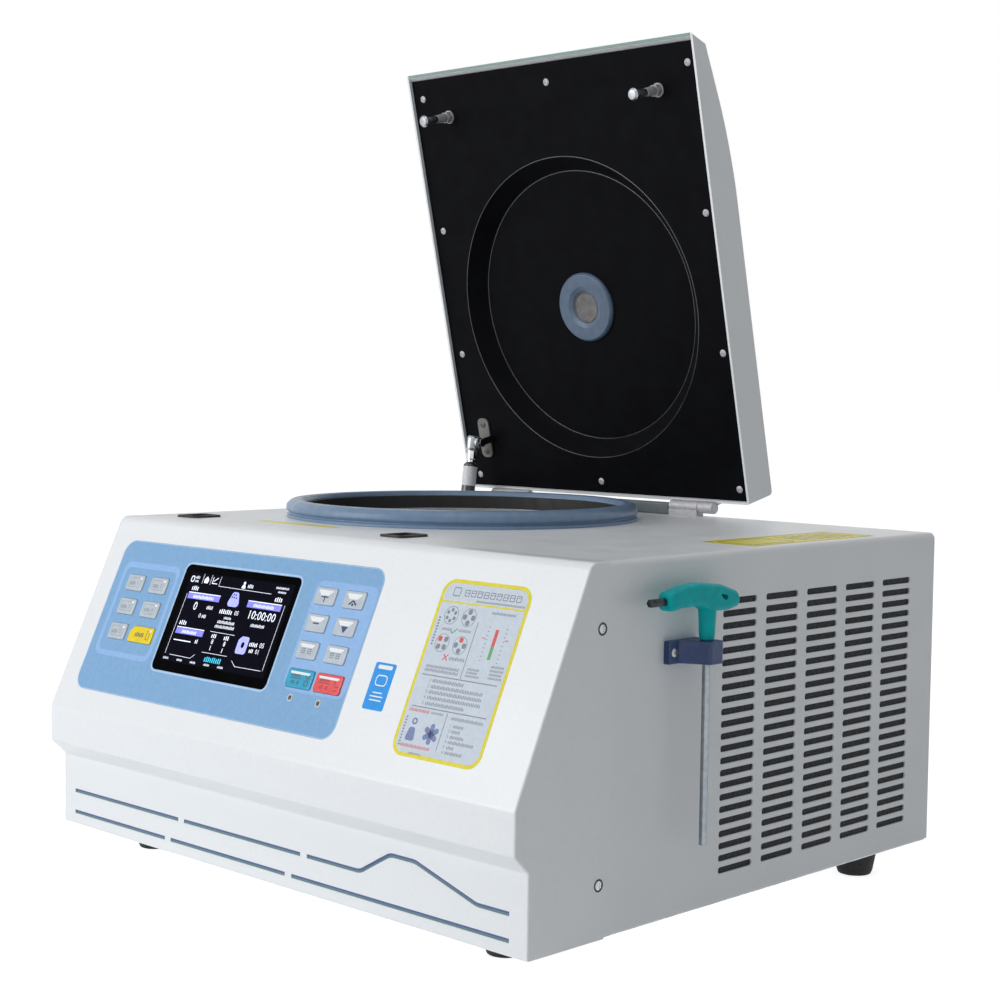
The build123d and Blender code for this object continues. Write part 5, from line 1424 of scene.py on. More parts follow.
class CENTRIFUGE_OT_rotor(bpy.types.Operator):
    """Rotor head with its pockets, its nut and the swing buckets"""

    bl_idname = "centrifuge.rotor"
    bl_label = "Rotor and buckets"

    def execute(self, context):
        steps = context.scene.centrifuge_sizes.seal_steps
        centre = Matrix.Translation((*CHAMBER, 0))
        disc = lathe([(0, 214, 0), (125, 214, 2.5), (125, 236, 4.0), (0, 236, 0)], steps=steps)
        pockets = [moved(slab((51.0, 140.0), (-27.5, 27.5), (200, 250)), turned((0, 0, 0), "Z", n)) for n in range(4)]
        disc = carved(disc, *pockets)
        hub = lathe([(10.05, 196, 0), (24, 196, 1.5), (24, 213.9, 0), (10.05, 213.9, 0)], steps=64)
        collar = lathe([(10.05, 236.02, 0), (24, 236.02, 0), (24, 246, 2.0), (10.05, 246, 0.5)], steps=64)
        pins = []
        for n in range(4):
            turn = turned((0, 0, 0), "Z", n)
            for side in (-1, 1):
                pin = rod(
                    (BUCKET_REACH, side * 27.6, BUCKET_PIN_Z), (BUCKET_REACH, side * 22.3, BUCKET_PIN_Z), 4.4, 24, 0.6,
                )
                pins.append(moved(pin, turn))
        head = moved(joined(disc, hub, collar, *pins), centre)
        finish_piece(head, "rotor_head_turned", "grey_anodised", "rotor", ["rotor_head"])
        nut = lathe([(10.05, 246.05, 0), (16, 246.05, 1.0), (16, 262, 2.5), (10.05, 262, 0.8)], steps=48)
        grips = [
            moved(rod((16.6, 0, 244), (16.6, 0, 264), 1.6, 12), Matrix.Rotation(n * math.pi / 6, 4, "Z"))
            for n in range(12)
        ]
        nut = moved(carved(nut, *grips), centre)
        finish_piece(nut, "rotor_nut_knurled", "black", "rotor", ["rotor_nut"])
        dress("drive_shaft", "nickel", 0.5)
        for n in range(4):
            name = f"bucket_{n + 1}"
            outer = prism(box_corners(0, 0, 52, 52, 10.5), 173, 257, 6)
            outer = soften(outer, 3.0, 3, lambda p: p.z < 174)
            inner = prism(box_corners(0, 0, 41, 41, 7.0), 178.5, 260, 6)
            cup = carved(
                outer, inner, rod((0, 21.7, BUCKET_PIN_Z), (0, 60, BUCKET_PIN_Z), 4.5, 24),
                rod((0, -60, BUCKET_PIN_Z), (0, -21.7, BUCKET_PIN_Z), 4.5, 24),
            )
            cup = soften(cup, 0.8, 2, lambda p: p.z > 256.9)
            cup = moved(moved(cup, Matrix.Translation((BUCKET_REACH, 0, 0))), turned((0, 0, 0), "Z", n))
            finish_piece(moved(cup, centre), name + "_cup", "silver_anodised", name, [name])
        return {"FINISHED"}


def lid_corners(inset, front_inset):
    """Side view of the closed lid in Y and Z, or of its hollow."""
    def at(v, w, rounding):
        return (LID_REAR_Y - v, RIM_Z + w, rounding)
    top = LID_HEIGHT - inset
    return [
        at(inset, 0, 0), at(inset, top, 4.5 - inset), at(357 - inset / 2, top, 480.0),
        at(LID_BEVEL[0] - front_inset, LID_BEVEL[1] - inset, 3.0 - inset), at(LID_LENGTH - front_inset, 0, 0),
    ]


# X of each hinge's fixed knuckle, and of the knuckle that turns with the lid
HINGE_SPANS = (((-2.0, 35.5), (35.8, 55.0)), ((-245.5, -208.0), (-265.0, -245.8)))


def hinge_notches(radius):
    """Room round both hinges, cut out of the lid."""
    notches = []
    for fixed, moving in HINGE_SPANS:
        start, end = min(fixed + moving) - 0.5, max(fixed + moving) + 0.5
        notches.append(rod((start, HINGE_Y, HINGE_Z), (end, HINGE_Y, HINGE_Z), radius, 40))
    return notches


class CENTRIFUGE_OT_lid(bpy.types.Operator):
    """White lid shell, bevelled towards its front, with the hole for its window and a grey green strip inside its front
    rim: painted shade of the front wall's inner face
    """

    bl_idname = "centrifuge.lid"
    bl_label = "Lid shell"

    def execute(self, context):
        sizes = context.scene.centrifuge_sizes
        shell = moved(prism(lid_corners(0.0, 0.0), LID_LEFT, LID_RIGHT, 7), ALONG_X)
        soften(
            shell, sizes.lid_round / METRE, 5,
            lambda p: (p.x < LID_LEFT + 0.1 or p.x > LID_RIGHT - 0.1) and p.z > RIM_Z + 0.1,
        )
        hollow = moved(prism(lid_corners(2.5, LID_FRONT_WALL), LID_LEFT + 2.5, LID_RIGHT - 2.5, 5), ALONG_X)
        bmesh.ops.translate(hollow, vec=(0, 0, -1.0), verts=[v for v in hollow.verts if v.co.z < RIM_Z + 0.1])
        window = prism(box_corners(*CHAMBER, 34, 34, 17.0), RIM_Z + 20, RIM_Z + 45, 12)
        shell = moved(carved(shell, hollow, window, *hinge_notches(7.0)), OPEN_LID)
        finish_piece(shell, "lid_cover", "paint", "lid", ["lid_shell"], sharp=40)
        front = LID_REAR_Y - LID_LENGTH
        inner = front + LID_FRONT_WALL
        # Grey green strip inside the front rim: painted shade on the front wall's inner face.
        edge = [
            (front + 0.2, RIM_Z - 0.3, 0), (inner + 0.3, RIM_Z - 0.3, 0.2), (inner + 1.9, RIM_Z + 2.2, 0),
            (inner + 1.4, RIM_Z + 2.2, 0), (inner - 0.1, RIM_Z, 0), (front + 0.2, RIM_Z, 0),
        ]
        edge = moved(prism(edge, LID_LEFT + 2.6, LID_RIGHT - 2.6), ALONG_X)
        finish_piece(moved(edge, OPEN_LID), "lid_front_painted_shade", "lid_rim_painted_shade", "lid", even=False)
        return {"FINISHED"}


class CENTRIFUGE_OT_liner(bpy.types.Operator):
    """Black liner with its dish, thin beads on the dish's edges in a lighter grey that paints their highlights, the hub
    ring and the window
    """

    bl_idname = "centrifuge.liner"
    bl_label = "Lid liner"

    def execute(self, context):
        steps = context.scene.centrifuge_sizes.seal_steps
        low = RIM_Z + LINER_W
        floor = low + DISH_DEPTH
        profile = [
            (330, low, 0), (163.5, low, 2.0), (147.5, floor, 3.5), (17.0, floor, 0),
            (17.0, floor + 2.0, 0), (148.6, floor + 2.0, 3.5), (164.6, low + 2.0, 2.0), (330, low + 2.0, 0),
        ]
        liner = lathe(profile, CHAMBER, steps, 5)
        front = LID_LENGTH - LID_FRONT_WALL - (LID_LENGTH - LID_BEVEL[0]) / (LID_BEVEL[1] - 2.5) * (LINER_W + 2.0) - 0.3
        sides = (
            ((LID_LEFT + 2.5, 0, 0), (-1, 0, 0)), ((LID_RIGHT - 2.5, 0, 0), (1, 0, 0)),
            ((0, LID_REAR_Y - 2.5, 0), (0, 1, 0)), ((0, LID_REAR_Y - front, 0), (0, -1, 0)),
        )
        for place, outwards in sides:
            cut = bmesh.ops.bisect_plane(
                liner, geom=liner.verts[:] + liner.edges[:] + liner.faces[:], dist=1e-4, plane_co=place,
                plane_no=outwards, clear_outer=True,
            )
            rim = [e for e in cut["geom_cut"] if isinstance(e, bmesh.types.BMEdge)]
            bmesh.ops.holes_fill(liner, edges=rim, sides=0)
        liner = moved(carved(liner, *hinge_notches(11.0)), OPEN_LID)
        finish_piece(liner, "formed_liner", "liner", "lid", ["lid_liner"], sharp=50)
        # Thin beads on the dish's edges, a lighter grey than the liner: painted highlights.
        beads = []
        for radius, height in ((163.6, low - 0.35), (146.4, floor - 0.4)):
            bead = [
                (radius - 0.5, height + 0.6, 0), (radius - 0.5, height, 0.3), (radius + 0.5, height, 0.3),
                (radius + 0.5, height + 0.6, 0),
            ]
            beads.append(lathe(bead, CHAMBER, steps, 3))
        finish_piece(moved(joined(*beads), OPEN_LID), "liner_painted_highlights", "painted_edge_highlight", "lid", sharp=60)
        ring = [
            (17.0, floor - 3.0, 1.0), (22.5, floor - 5.0, 1.2), (35.5, floor - 5.0, 2.0), (37.5, floor - 2.6, 1.0),
            (37.5, floor, 0), (17.0, floor, 0),
        ]
        finish_piece(
            moved(lathe(ring, CHAMBER, 96), OPEN_LID), "hub_seal", "hub_silicone", "lid", ["hub_ring"],
        )
        plug = [
            (0, floor - 1.6, 0), (14.6, floor - 1.6, 0.8), (16.7, floor - 3.2, 0.5), (16.7, RIM_Z + 42.0, 0.5),
            (0, RIM_Z + 42.0, 0),
        ]
        finish_piece(
            moved(lathe(plug, CHAMBER, 72), OPEN_LID), "window_plug", "window", "lid", ["lid_window"],
        )
        return {"FINISHED"}


class CENTRIFUGE_OT_lid_fittings(bpy.types.Operator):
    """Lock strikers and the screws that hold the liner"""

    bl_idname = "centrifuge.lid_fittings"
    bl_label = "Strikers and liner screws"

    def execute(self, context):
        strikers, nuts = [], []
        for x in LATCH_XS:
            place = LINER_FACE @ Matrix.Translation((x, LID_REAR_Y - LATCH_Y, 0))
            washer = lathe([(0, 0, 0), (7.2, 0, 0), (7.2, 1.7, 0.7), (0, 1.8, 0)], steps=48)
            nut = soften(prism(hexagon(6.5, 0.8), 1.8, 7.4, 3), 0.7, 2)
            cone = lathe([(0, 7.4, 0), (4.8, 7.4, 0), (4.8, 13.0, 0.8), (4.1, 21.0, 0.6), (0, 21.0, 0)], steps=48)
            nuts.append(moved(joined(washer, nut, cone), place))
            stem = [
                (0, 21.0, 0), (3.9, 21.0, 0), (3.9, 34.8, 0.6), (4.4, 36.7, 0.2), (6.0, 37.0, 0.5), (6.3, 39.4, 0.8),
                (4.8, 41.6, 1.6), (0, 42.0, 0),
            ]
            strikers.append(moved(lathe(stem, steps=48), place))
        finish_piece(joined(*strikers), "striker_bolts", "striker", "lid", ["lock_strikers"])
        finish_piece(joined(*nuts), "striker_nuts", "nut_zinc", "lid")
        screws = []
        for v in (15.0, 157.5, 299.5, 446.8):
            for u in ((16.5, 203.0, 391.0) if v in (15.0, 446.8) else (16.5, 391.0)):
                turn = Matrix.Rotation(u + v, 4, "Z")
                screws.append(moved(screw_head(3.8, 1.5), LINER_FACE @ Matrix.Translation((LID_LEFT + u, v, 0)) @ turn))
        finish_piece(joined(*screws), "liner_screw_heads", "pale_zinc", "lid", ["liner_screws"])
        return {"FINISHED"}


class CENTRIFUGE_OT_hinges(bpy.types.Operator):
    """Hinge knuckles with their pins and leaves, the strut's brackets, and the rail between the hinges"""

    bl_idname = "centrifuge.hinges"
    bl_label = "Hinges"

    def execute(self, context):
        fixed_parts, lid_parts = [], []
        for fixed, moving in HINGE_SPANS:
            tube = lathe(
                [(3.05, 0, 0.4), (6.25, 0, 0.8), (6.25, fixed[1] - fixed[0], 0.8), (3.05, fixed[1] - fixed[0], 0.4)],
                steps=48,
            )
            fixed_parts.append(moved(tube, turned((fixed[0], HINGE_Y, HINGE_Z), "Y", 1)))
            web = slab(fixed, (HINGE_Y - 6.0, HINGE_Y + 6.0), (DECK_Z, HINGE_Z - 3.4))
            fixed_parts.append(soften(web, 0.5, 2))
            lid_parts.append(rod((moving[0], HINGE_Y, HINGE_Z), (moving[1], HINGE_Y, HINGE_Z), 6.25, 48, 0.8))
            leaf = slab(moving, (LID_REAR_Y, LID_REAR_Y + 3.0), (HINGE_Z + 3.0, RIM_Z + 26.0))
            lid_parts.append(soften(leaf, 0.5, 2))
            for offset in (5.0, moving[1] - moving[0] - 5.0):
                head = lathe([(0, 1.7, 0), (2.2, 1.5, 0.6), (3.6, 0.2, 0.2), (3.6, -0.2, 0), (0, -0.2, 0)], steps=24)
                place = Matrix.Translation((moving[0] + offset, LID_REAR_Y + 3.0, RIM_Z + 16.0))
                lid_parts.append(moved(head, place @ Matrix.Rotation(-math.pi / 2, 4, "X")))
            ends = (min(fixed[0], moving[0]), max(fixed[1], moving[1]))
            lid_parts.append(rod((ends[0] + 0.1, HINGE_Y, HINGE_Z), (ends[1] - 0.1, HINGE_Y, HINGE_Z), 3.0, 24, 0.5))
        bracket = soften(slab((-308.5, -305.5), (200, 240), (110, 160)), 0.5, 2)
        arm = rod((-305.6, *STRUT_FOOT), (-281.8, *STRUT_FOOT), 7.7, 32, 0.6)
        finish_piece(
            joined(*fixed_parts, bracket, arm), "fixed_hinges", "pale_zinc", "cabinet",
            ["hinge_brackets"],
        )
        foot = prism(box_corners(-272.6, LID_REAR_Y - 59.5, 17.0, 46.0, 6.5), RIM_Z + 2, RIM_Z + 4, 8)
        foot = soften(foot, 0.4, 2)
        flange = soften(
            slab((-262.0, -260.0), (LID_REAR_Y - 63, LID_REAR_Y - 55), (RIM_Z - 22, RIM_Z + LINER_W)), 0.4, 2,
        )
        stud = rod((-279.9, STRUT_EYE_Y, STRUT_EYE_Z), (-262.0, STRUT_EYE_Y, STRUT_EYE_Z), 3.0, 24, 0.4)
        nut = soften(prism(hexagon(5.2, 0.5), 0, 3.0, 2), 0.4, 2)
        nut = moved(nut, turned((-260.0, STRUT_EYE_Y, STRUT_EYE_Z), "Y", 1))
        heads = []
        for v in (43.5, 75.5):
            place = turned((-272.6, LID_REAR_Y - v, RIM_Z + 2.0), "X", 2)
            heads.append(moved(screw_head(3.8, 1.8), place))
        finish_piece(
            moved(joined(*lid_parts), OPEN_LID), "lid_hinges", "pale_zinc", "lid", ["lid_brackets"],
        )
        finish_piece(moved(joined(flange, nut), OPEN_LID), "strut_flange", "enamel", "lid")
        strut_plate = moved(joined(foot, *heads), OPEN_LID)
        finish_piece(strut_plate, "strut_plate", "dark_zinc", "lid")
        spacer = rod((-267.2, STRUT_EYE_Y, STRUT_EYE_Z), (-262.1, STRUT_EYE_Y, STRUT_EYE_Z), 6.0, 40, 1.4)
        finish_piece(moved(joined(stud, spacer), OPEN_LID), "strut_stud", "striker", "lid")
        rail = soften(slab((-207.9, -2.1), (270.0, 282.0), (DECK_Z, DECK_Z + 12.5)), 2.0, 4)
        finish_piece(rail, "hinge_rail_cover", "rail_plastic", "cabinet", ["hinge_rail"])
        return {"FINISHED"}


def strut_frame():
    """Frame on the strut's lower end with Z along the strut, and its length."""
    stud = OPEN_LID @ Vector((STRUT_X, STRUT_EYE_Y, STRUT_EYE_Z))
    foot = Vector((STRUT_X, *STRUT_FOOT))
    along = stud - foot
    turn = Vector((0, 0, 1)).rotation_difference(along).to_matrix().to_4x4()
    return Matrix.Translation(foot) @ turn, along.length


class CENTRIFUGE_OT_strut(bpy.types.Operator):
    """Gas strut: black tube with a satin steel end fitting, a chrome collar, a bare label and its polished rod"""

    bl_idname = "centrifuge.strut"
    bl_label = "Gas strut"

    def execute(self, context):
        place, length = strut_frame()
        neck_low = length - 12.0
        collar_low = neck_low - 14.0
        tube_low = collar_low - 130.0
        fitting = lathe(
            [
                (0, neck_low + 2, 0), (6.6, neck_low + 2, 0.6), (7.3, neck_low + 5, 0.6), (7.3, length + 5, 1.8),
                (5.4, length + 7.4, 1.2), (0, length + 7.4, 0),
            ],
            steps=48,
        )
        slot = slab((-5.4, -2.6), (-12, 12), (length - 8, length + 12))
        fitting = carved(fitting, slot, rod((-20, 0, length), (20, 0, length), 3.05, 24))
        finish_piece(moved(fitting, place), "strut_end_fitting", "striker", "strut_cylinder")
        collar = lathe(
            [
                (0, collar_low + 2, 0), (4.2, collar_low + 2, 0.4), (4.2, collar_low + 6, 0.6),
                (5.4, collar_low + 6.6, 0.4), (5.4, neck_low + 2, 0), (0, neck_low + 2, 0),
            ],
            steps=32,
        )
        tube = lathe(
            [
                (4.1, tube_low, 0.8), (8.0, tube_low, 1.6), (8.0, collar_low, 1.8), (4.6, collar_low + 3.5, 1.0),
                (4.1, collar_low + 3.5, 0.2),
            ],
            steps=64,
        )
        finish_piece(moved(tube, place), "strut_tube", "enamel", "strut_cylinder", ["strut_cylinder"])
        finish_piece(moved(collar, place), "strut_collar", "chrome", "strut_cylinder")
        sleeve = lathe(
            [
                (8.02, collar_low - 24, 0), (8.12, collar_low - 24, 0), (8.12, collar_low - 2, 0),
                (8.02, collar_low - 2, 0),
            ],
            steps=64,
        )
        finish_piece(moved(sleeve, place), "strut_label", "silver_label", "strut_cylinder")
        shaft = rod((0, 0, 6), (0, 0, 128), 4.0, 40, 0.6)
        eye = lathe([(3.1, -7.5, 0.4), (8.0, -7.5, 1.2), (8.0, 7.5, 1.2), (3.1, 7.5, 0.4)], steps=40)
        eye = moved(eye, Matrix.Rotation(math.pi / 2, 4, "Y"))
        finish_piece(
            moved(joined(shaft, eye), place), "strut_piston_rod", "chrome", "strut_rod", ["strut_rod"],
        )
        return {"FINISHED"}


KEY_X = 328.7
KEY_Y = -85.8
KEY_ACROSS_FLATS = 6.0


class CENTRIFUGE_OT_hex_key(bpy.types.Operator):
    """T-handled hexagon key and the bracket that holds it on the right side"""

    bl_idname = "centrifuge.hex_key"
    bl_label = "Hexagon key"

    def execute(self, context):
        section = hexagon(KEY_ACROSS_FLATS / 2 / math.cos(math.pi / 6), 0.35)
        shank = soften(prism(section, 81.8, 279.0, 2), 0.7, 2, lambda p: p.z < 82)
        shank = moved(shank, Matrix.Translation((KEY_X, KEY_Y, 0)))
        finish_piece(shank, "hex_blade", "blade", "hex_key", ["hex_key_blade"], even=False)
        arm = soften(prism(section, 0, 19.0, 2), 0.7, 2, lambda p: p.z > 18.9)
        place = turned((KEY_X, -139.0, 282.0), "X", 1)
        finish_piece(moved(arm, place), "hex_short_end", "tool_steel", "hex_key", even=False)
        side = [
            (-140.0, 273.6, 4.6), (-140.4, 288.8, 5.0), (-121.0, 293.0, 26.0), (-100.0, 294.8, 40.0),
            (-74.0, 292.0, 26.0), (-51.5, 284.6, 6.5), (-51.0, 273.2, 5.0), (-66.0, 270.6, 14.0), (-89.0, 271.0, 8.0),
            (-101.0, 276.4, 14.0), (-124.0, 276.4, 20.0),
        ]
        grip = moved(prism(side, KEY_X - 7.75, KEY_X + 7.75, 7), ALONG_X)
        grip = soften(grip, 4.4, 5, lambda p: abs(p.x - KEY_X) > 7.6)
        hole = [(-81.0, 285.2, 1.4), (-67.0, 283.0, 2.0), (-71.0, 278.6, 2.0)]
        grip = carved(grip, moved(prism(hole, KEY_X - 9, KEY_X + 9, 4), ALONG_X))
        neck = [(0, 247.9, 0), (5.9, 247.9, 0.6), (6.5, 252.0, 3.0), (6.9, 262.0, 6.0), (7.7, 277.0, 0), (0, 277.0, 0)]
        neck = lathe(neck, (KEY_X, KEY_Y), 48)
        finish_piece(joined(grip, neck), "key_grip", "grip", "hex_key", ["hex_key_handle"], sharp=50)
        front, back = -116.7, -76.0
        outline = [
            (HALF_WIDTH, front, 0), (HALF_WIDTH + 6, front, 1.0), (HALF_WIDTH + 6, -104.0, 3.0), (330.0, -96.0, 3.0),
            (339.0, -93.0, 3.0), (339.0, back, 3.0), (HALF_WIDTH, back, 0),
        ]
        bracket = soften(prism(outline, 229.0, 247.5, 5), 0.7, 3, lambda p: p.x > HALF_WIDTH + 0.5)
        bracket = carved(bracket, rod((KEY_X, KEY_Y, 220), (KEY_X, KEY_Y, 250), 3.8, 32))
        finish_piece(bracket, "key_bracket_moulding", "navy_plastic", "cabinet", ["key_bracket"])
        place = turned((HALF_WIDTH + 6, -110.4, 238.2), "Y", 1)
        finish_piece(moved(screw_head(3.7, 1.6), place), "bracket_screw", "striker", "cabinet")
        return {"FINISHED"}


class CENTRIFUGE_OT_feet(bpy.types.Operator):
    """Flared rubber feet with a turned down rim"""

    bl_idname = "centrifuge.feet"
    bl_label = "Feet"

    def execute(self, context):
        feet = []
        for x, y in FEET:
            for side in (-1, 1):
                foot = [(0, 0, 0), (15.0, 0, 1.5), (16.6, 4.0, 2.0), (19.5, 19.0, 1.0), (19.5, 21.0, 0), (0, 21.0, 0)]
                feet.append(lathe(foot, (side * x, y), 64))
        finish_piece(joined(*feet), "rubber_feet", "rubber", "cabinet", ["feet"])
        return {"FINISHED"}


class CENTRIFUGE_OT_rear(bpy.types.Operator):
    """Rear panel with its vents, and the mains inlet with its rocker switch"""

    bl_idname = "centrifuge.rear"
    bl_label = "Rear panel and inlet"

    def execute(self, context):
        side = HALF_WIDTH - SHEET
        top = DECK_Z - SHEET
        outlines = [[(-side, FLOOR_Z, 0), (side, FLOOR_Z, 0), (side, top, 4.5), (-side, top, 4.5)]]
        outlines.append(box_corners(*INLET, 44.0, 66.0))
        for column in range(2):
            for row in range(12):
                outlines.append(box_corners(212 + 84 * (column - 0.5), 170 + 16 * (row - 5.5), 70.0, 4.5, 2.1))
        panel = moved(plate(outlines, -REAR_Y, -REAR_Y + SHEET, 4), ALONG_Y)
        finish_piece(panel, "rear_panel_sheet", "paint", "cabinet", ["rear_panel"], even=False)
        heads = []
        for x in (-296.0, 0.0, 296.0):
            for z in (36.0, 300.0):
                place = turned((x, REAR_Y, z), "X", -1)
                heads.append(moved(screw_head(3.7, 1.6), place))
        finish_piece(joined(*heads), "rear_screws", "nickel", "cabinet")
        flange = prism(box_corners(*INLET, 50.0, 72.0, 3.0), -288.0, -285.02, 5)
        flange = soften(flange, 0.7, 2, lambda p: p.z < -287.9)
        body = prism(box_corners(*INLET, 44.0, 66.0), -285.0, -249.0)
        socket = [
            (-242.25, 56.6, 1.0), (-217.75, 56.6, 1.0), (-217.75, 68.4, 0.6), (-222.75, 73.4, 0.6),
            (-237.25, 73.4, 0.6), (-242.25, 68.4, 0.6),
        ]
        socket = prism(socket, -289.0, -272.0, 4)
        well = prism(box_corners(-230.0, 98.0, 23.0, 26.8), -289.0, -274.0)
        module = joined(carved(flange, socket.copy(), well.copy()), carved(body, socket, well))
        finish_piece(moved(module, ALONG_Y), "mains_inlet", "black", "cabinet", ["inlet_module"])
        pins = []
        for across, rise in ((-7.0, -2.0), (0.0, 2.0), (7.0, -2.0)):
            pin = slab((-231 + across, -229 + across), (272.0, 285.0), (63 + rise, 67 + rise))
            pins.append(soften(pin, 0.3, 2))
        finish_piece(joined(*pins), "inlet_pins", "nickel", "cabinet")
        dress("power_rocker", "black", 0.5)
        return {"FINISHED"}


MACHINERY = {
    "chassis": ("zinc", 0.3), "bowl_insulation": ("foam", 0.6), "armour_ring": ("primer", 0.6),
    "drive_motor": ("cast", 1.0), "motor_rubbers": ("rubber", 0.8), "compressor": ("enamel", 2.5),
    "condenser": ("fins", 0.1), "fan_shroud": ("zinc", 0.3), "fan_blades": ("black", 0.3),
    "refrigerant_tubing": ("copper", 0.3), "motor_inverter": ("cast", 0.6), "control_board": ("board", 0.2),
    "lock_housings": ("black", 0.5), "lock_slide": ("nickel", 0.3),
}


class CENTRIFUGE_OT_machinery(bpy.types.Operator):
    """Finishes of the drive, cooling and lock pieces inside the cabinet"""

    bl_idname = "centrifuge.machinery"
    bl_label = "Machinery inside"

    def execute(self, context):
        for node, (finish, edge) in MACHINERY.items():
            dress(node, finish, edge)
        return {"FINISHED"}


class CENTRIFUGE_OT_finishes(bpy.types.Operator):
    """Makes every finish that the pieces use"""

    bl_idname = "centrifuge.finishes"
    bl_label = "Finishes"

    def execute(self, context):
        panel = "#82AED7"
        FINISH.update(
            {
                "paint": make_powder_coat(), "moulding": make_moulded_white(), "zinc": make_zinc(),
                "rubber": make_black_rubber(), "silicone": make_silicone("blue_grey_silicone", "#6F88A4", "#778FAB"),
                "hub_silicone": make_silicone("hub_silicone", "#4E6178", "#566A81"), "chamber": make_chamber_steel(),
                "foam": make_foam(), "primer": make_primer(), "cast": make_cast_aluminium(),
                "enamel": make_black_enamel(), "fins": make_fins(), "copper": make_copper(),
                "liner": make_black_moulding(), "board": make_board(), "screen": make_screen_glass(),
                "nickel": make_plated_steel(), "chrome": make_chrome(), "window": make_window(),
                "tool_steel": make_tool_steel(), "blade": make_bright_blade(), "grip": make_grip(),
                "foil": make_foil("blue_foil", panel, "#7BA8D3"),
                "light_foil": make_foil("light_blue_foil", "#94BCEA", "#8EB6E6"),
                "pale_foil": make_foil("pale_blue_print", "#B4D2F2", "#A9CAEE"),
                "blue_vinyl": make_foil("blue_vinyl", "#1E9AEE", "#1892E4"),
                "yellow_vinyl": make_foil("yellow_vinyl", "#E6DA40", "#DCD034"),
                "card_vinyl": make_foil("laminated_card", "#CDD7E3", "#C5D0DD"),
                "silver_label": make_foil("silver_label", "#E4E7EC", "#D6DAE0"),
                "screen_field": make_glow("dark_screen_field", "#08080F", "#0C0C18", 0.6),
                "violet_glow": make_glow("violet_screen_light", "#7F80EA", "#7476E2", 0.75),
                "lilac_glow": make_glow("lilac_screen_light", "#A4A8F6", "#989CF2", 0.75),
                "white_glow": make_glow("white_screen_light", "#E4E8F2", "#D4DAE8", 0.75),
                "cyan_glow": make_glow("cyan_screen_light", "#4FC6E0", "#42B8D4", 0.75),
                # Indigo band in the grooves: painted shadow.
                "groove_painted_shadow": make_ink("groove_painted_shadow", "#3C4C86", "#445690"),
                "grey_green_ink": make_ink("grey_green_ink", "#5E8288", "#56797F"),
                "dark_ink": make_ink("dark_ink", "#23262C", "#2B2F36"),
                "navy_ink": make_ink("navy_ink", "#1C1C5A", "#262668"),
                "soft_ink": make_ink("soft_grey_ink", "#76808F", "#808A98"),
                "card_ink": make_ink("card_grey_ink", "#6E7682", "#7A828E"),
                "picture_ink": make_ink("picture_blue_ink", "#6C7FAE", "#5E70A0"),
                # Grey green strip in the lid's front rim: painted shade.
                # Lighter grey beads on the liner's edges: painted highlights.
                "lid_rim_painted_shade": make_ink("grey_green_painted_rim_shade", "#7C968E", "#869F97"), "painted_edge_highlight": make_painted_edge_highlight(),
                "filter": make_filter(), "striker": make_anodised("satin_striker_steel", "#93979B", "#A3A7AB"),
                "white_ink": make_ink("white_ink", "#EDF1F5", "#E2E8EE"),
                "red_ink": make_ink("red_ink", "#C8413C", "#D04A44"),
                "green_ink": make_ink("green_ink", "#4E9A5B", "#579F64"),
                # White plates on the keys' domes: a painted highlight.
                "key_painted_highlight": make_ink("key_painted_highlight_white", "#EEF2F4", "#E4EAEE"),
                "key_grey": make_key_dome("domed_key_grey", "#B8C2CC", "#C1CBD5"),
                "key_yellow": make_key_dome("domed_key_yellow", "#F2D800", "#E8CC00"),
                "key_teal": make_key_dome("domed_key_teal", "#2EA8CC", "#289EC2"),
                "key_red": make_key_dome("domed_key_red", "#F05A5C", "#E85053"),
                "black": make_grained("grained_black_plastic", "#17181A", "#1F2022", 0.5),
                "matt_black": make_grained("matt_black_plastic", "#08080A", "#0E0E11", 0.6),
                "dark_plastic": make_grained("grained_dark_grey_plastic", "#3A3D3C", "#444745", 0.48),
                "rail_plastic": make_grained("grained_grey_rail", "#656E71", "#6D7679", 0.5),
                "pale_zinc": make_dull_zinc("pale_passivated_zinc", "#C6C5C9", "#BAB9BE"),
                "dark_zinc": make_dull_zinc("dark_passivated_zinc", "#75736E", "#686661"),
                "nut_zinc": make_dull_zinc("grey_passivated_zinc", "#A2A3A6", "#949598"),
                "light_plastic": make_grained("grained_light_plastic", "#C6CBCE", "#D0D5D8", 0.4),
                "navy_plastic": make_grained("grained_navy_plastic", "#203664", "#28406E", 0.45),
                "grey_anodised": make_anodised("grey_anodised_aluminium", "#7E8388", "#8E9398"),
                "silver_anodised": make_anodised("silver_anodised_aluminium", "#A8ACB0", "#B8BCC0"),
            }
        )
        return {"FINISHED"}


FLOOR_GLOW = 0.78
ROOM_LIGHT = 0.27
CAMERA_PLACE = (1.2411, -1.2645, 0.4470)
CAMERA_TURN = (-0.7707, -0.0605, 0.0136)  # yaw, pitch and roll in radians
CAMERA_LENS = 67.22


def seen_directly(owner):
    """One for what the camera sees, straight, in a mirror or through glass; nought for other light."""
    path = add_node(owner, "ShaderNodeLightPath").outputs
    kinds = {0: path["Is Camera Ray"], 1: path["Is Glossy Ray"]}
    seen = add_node(owner, "ShaderNodeMath", links=kinds, operation="MAXIMUM")
    kinds = {0: seen.outputs[0], 1: path["Is Transmission Ray"]}
    return add_node(owner, "ShaderNodeMath", links=kinds, operation="MAXIMUM").outputs[0]


def soft_light(name, place, aim, size, power):
    """Square lamp at a place, turned towards its aim."""
    lamp = bpy.data.lights.new(name, "AREA")
    lamp.shape = "SQUARE"
    lamp.size = size
    lamp.energy = power
    holder = bpy.data.objects.new(name, lamp)
    holder.location = place
    holder.rotation_euler = (Vector(aim) - Vector(place)).to_track_quat("-Z", "Y").to_euler()
    bpy.context.scene.collection.objects.link(holder)


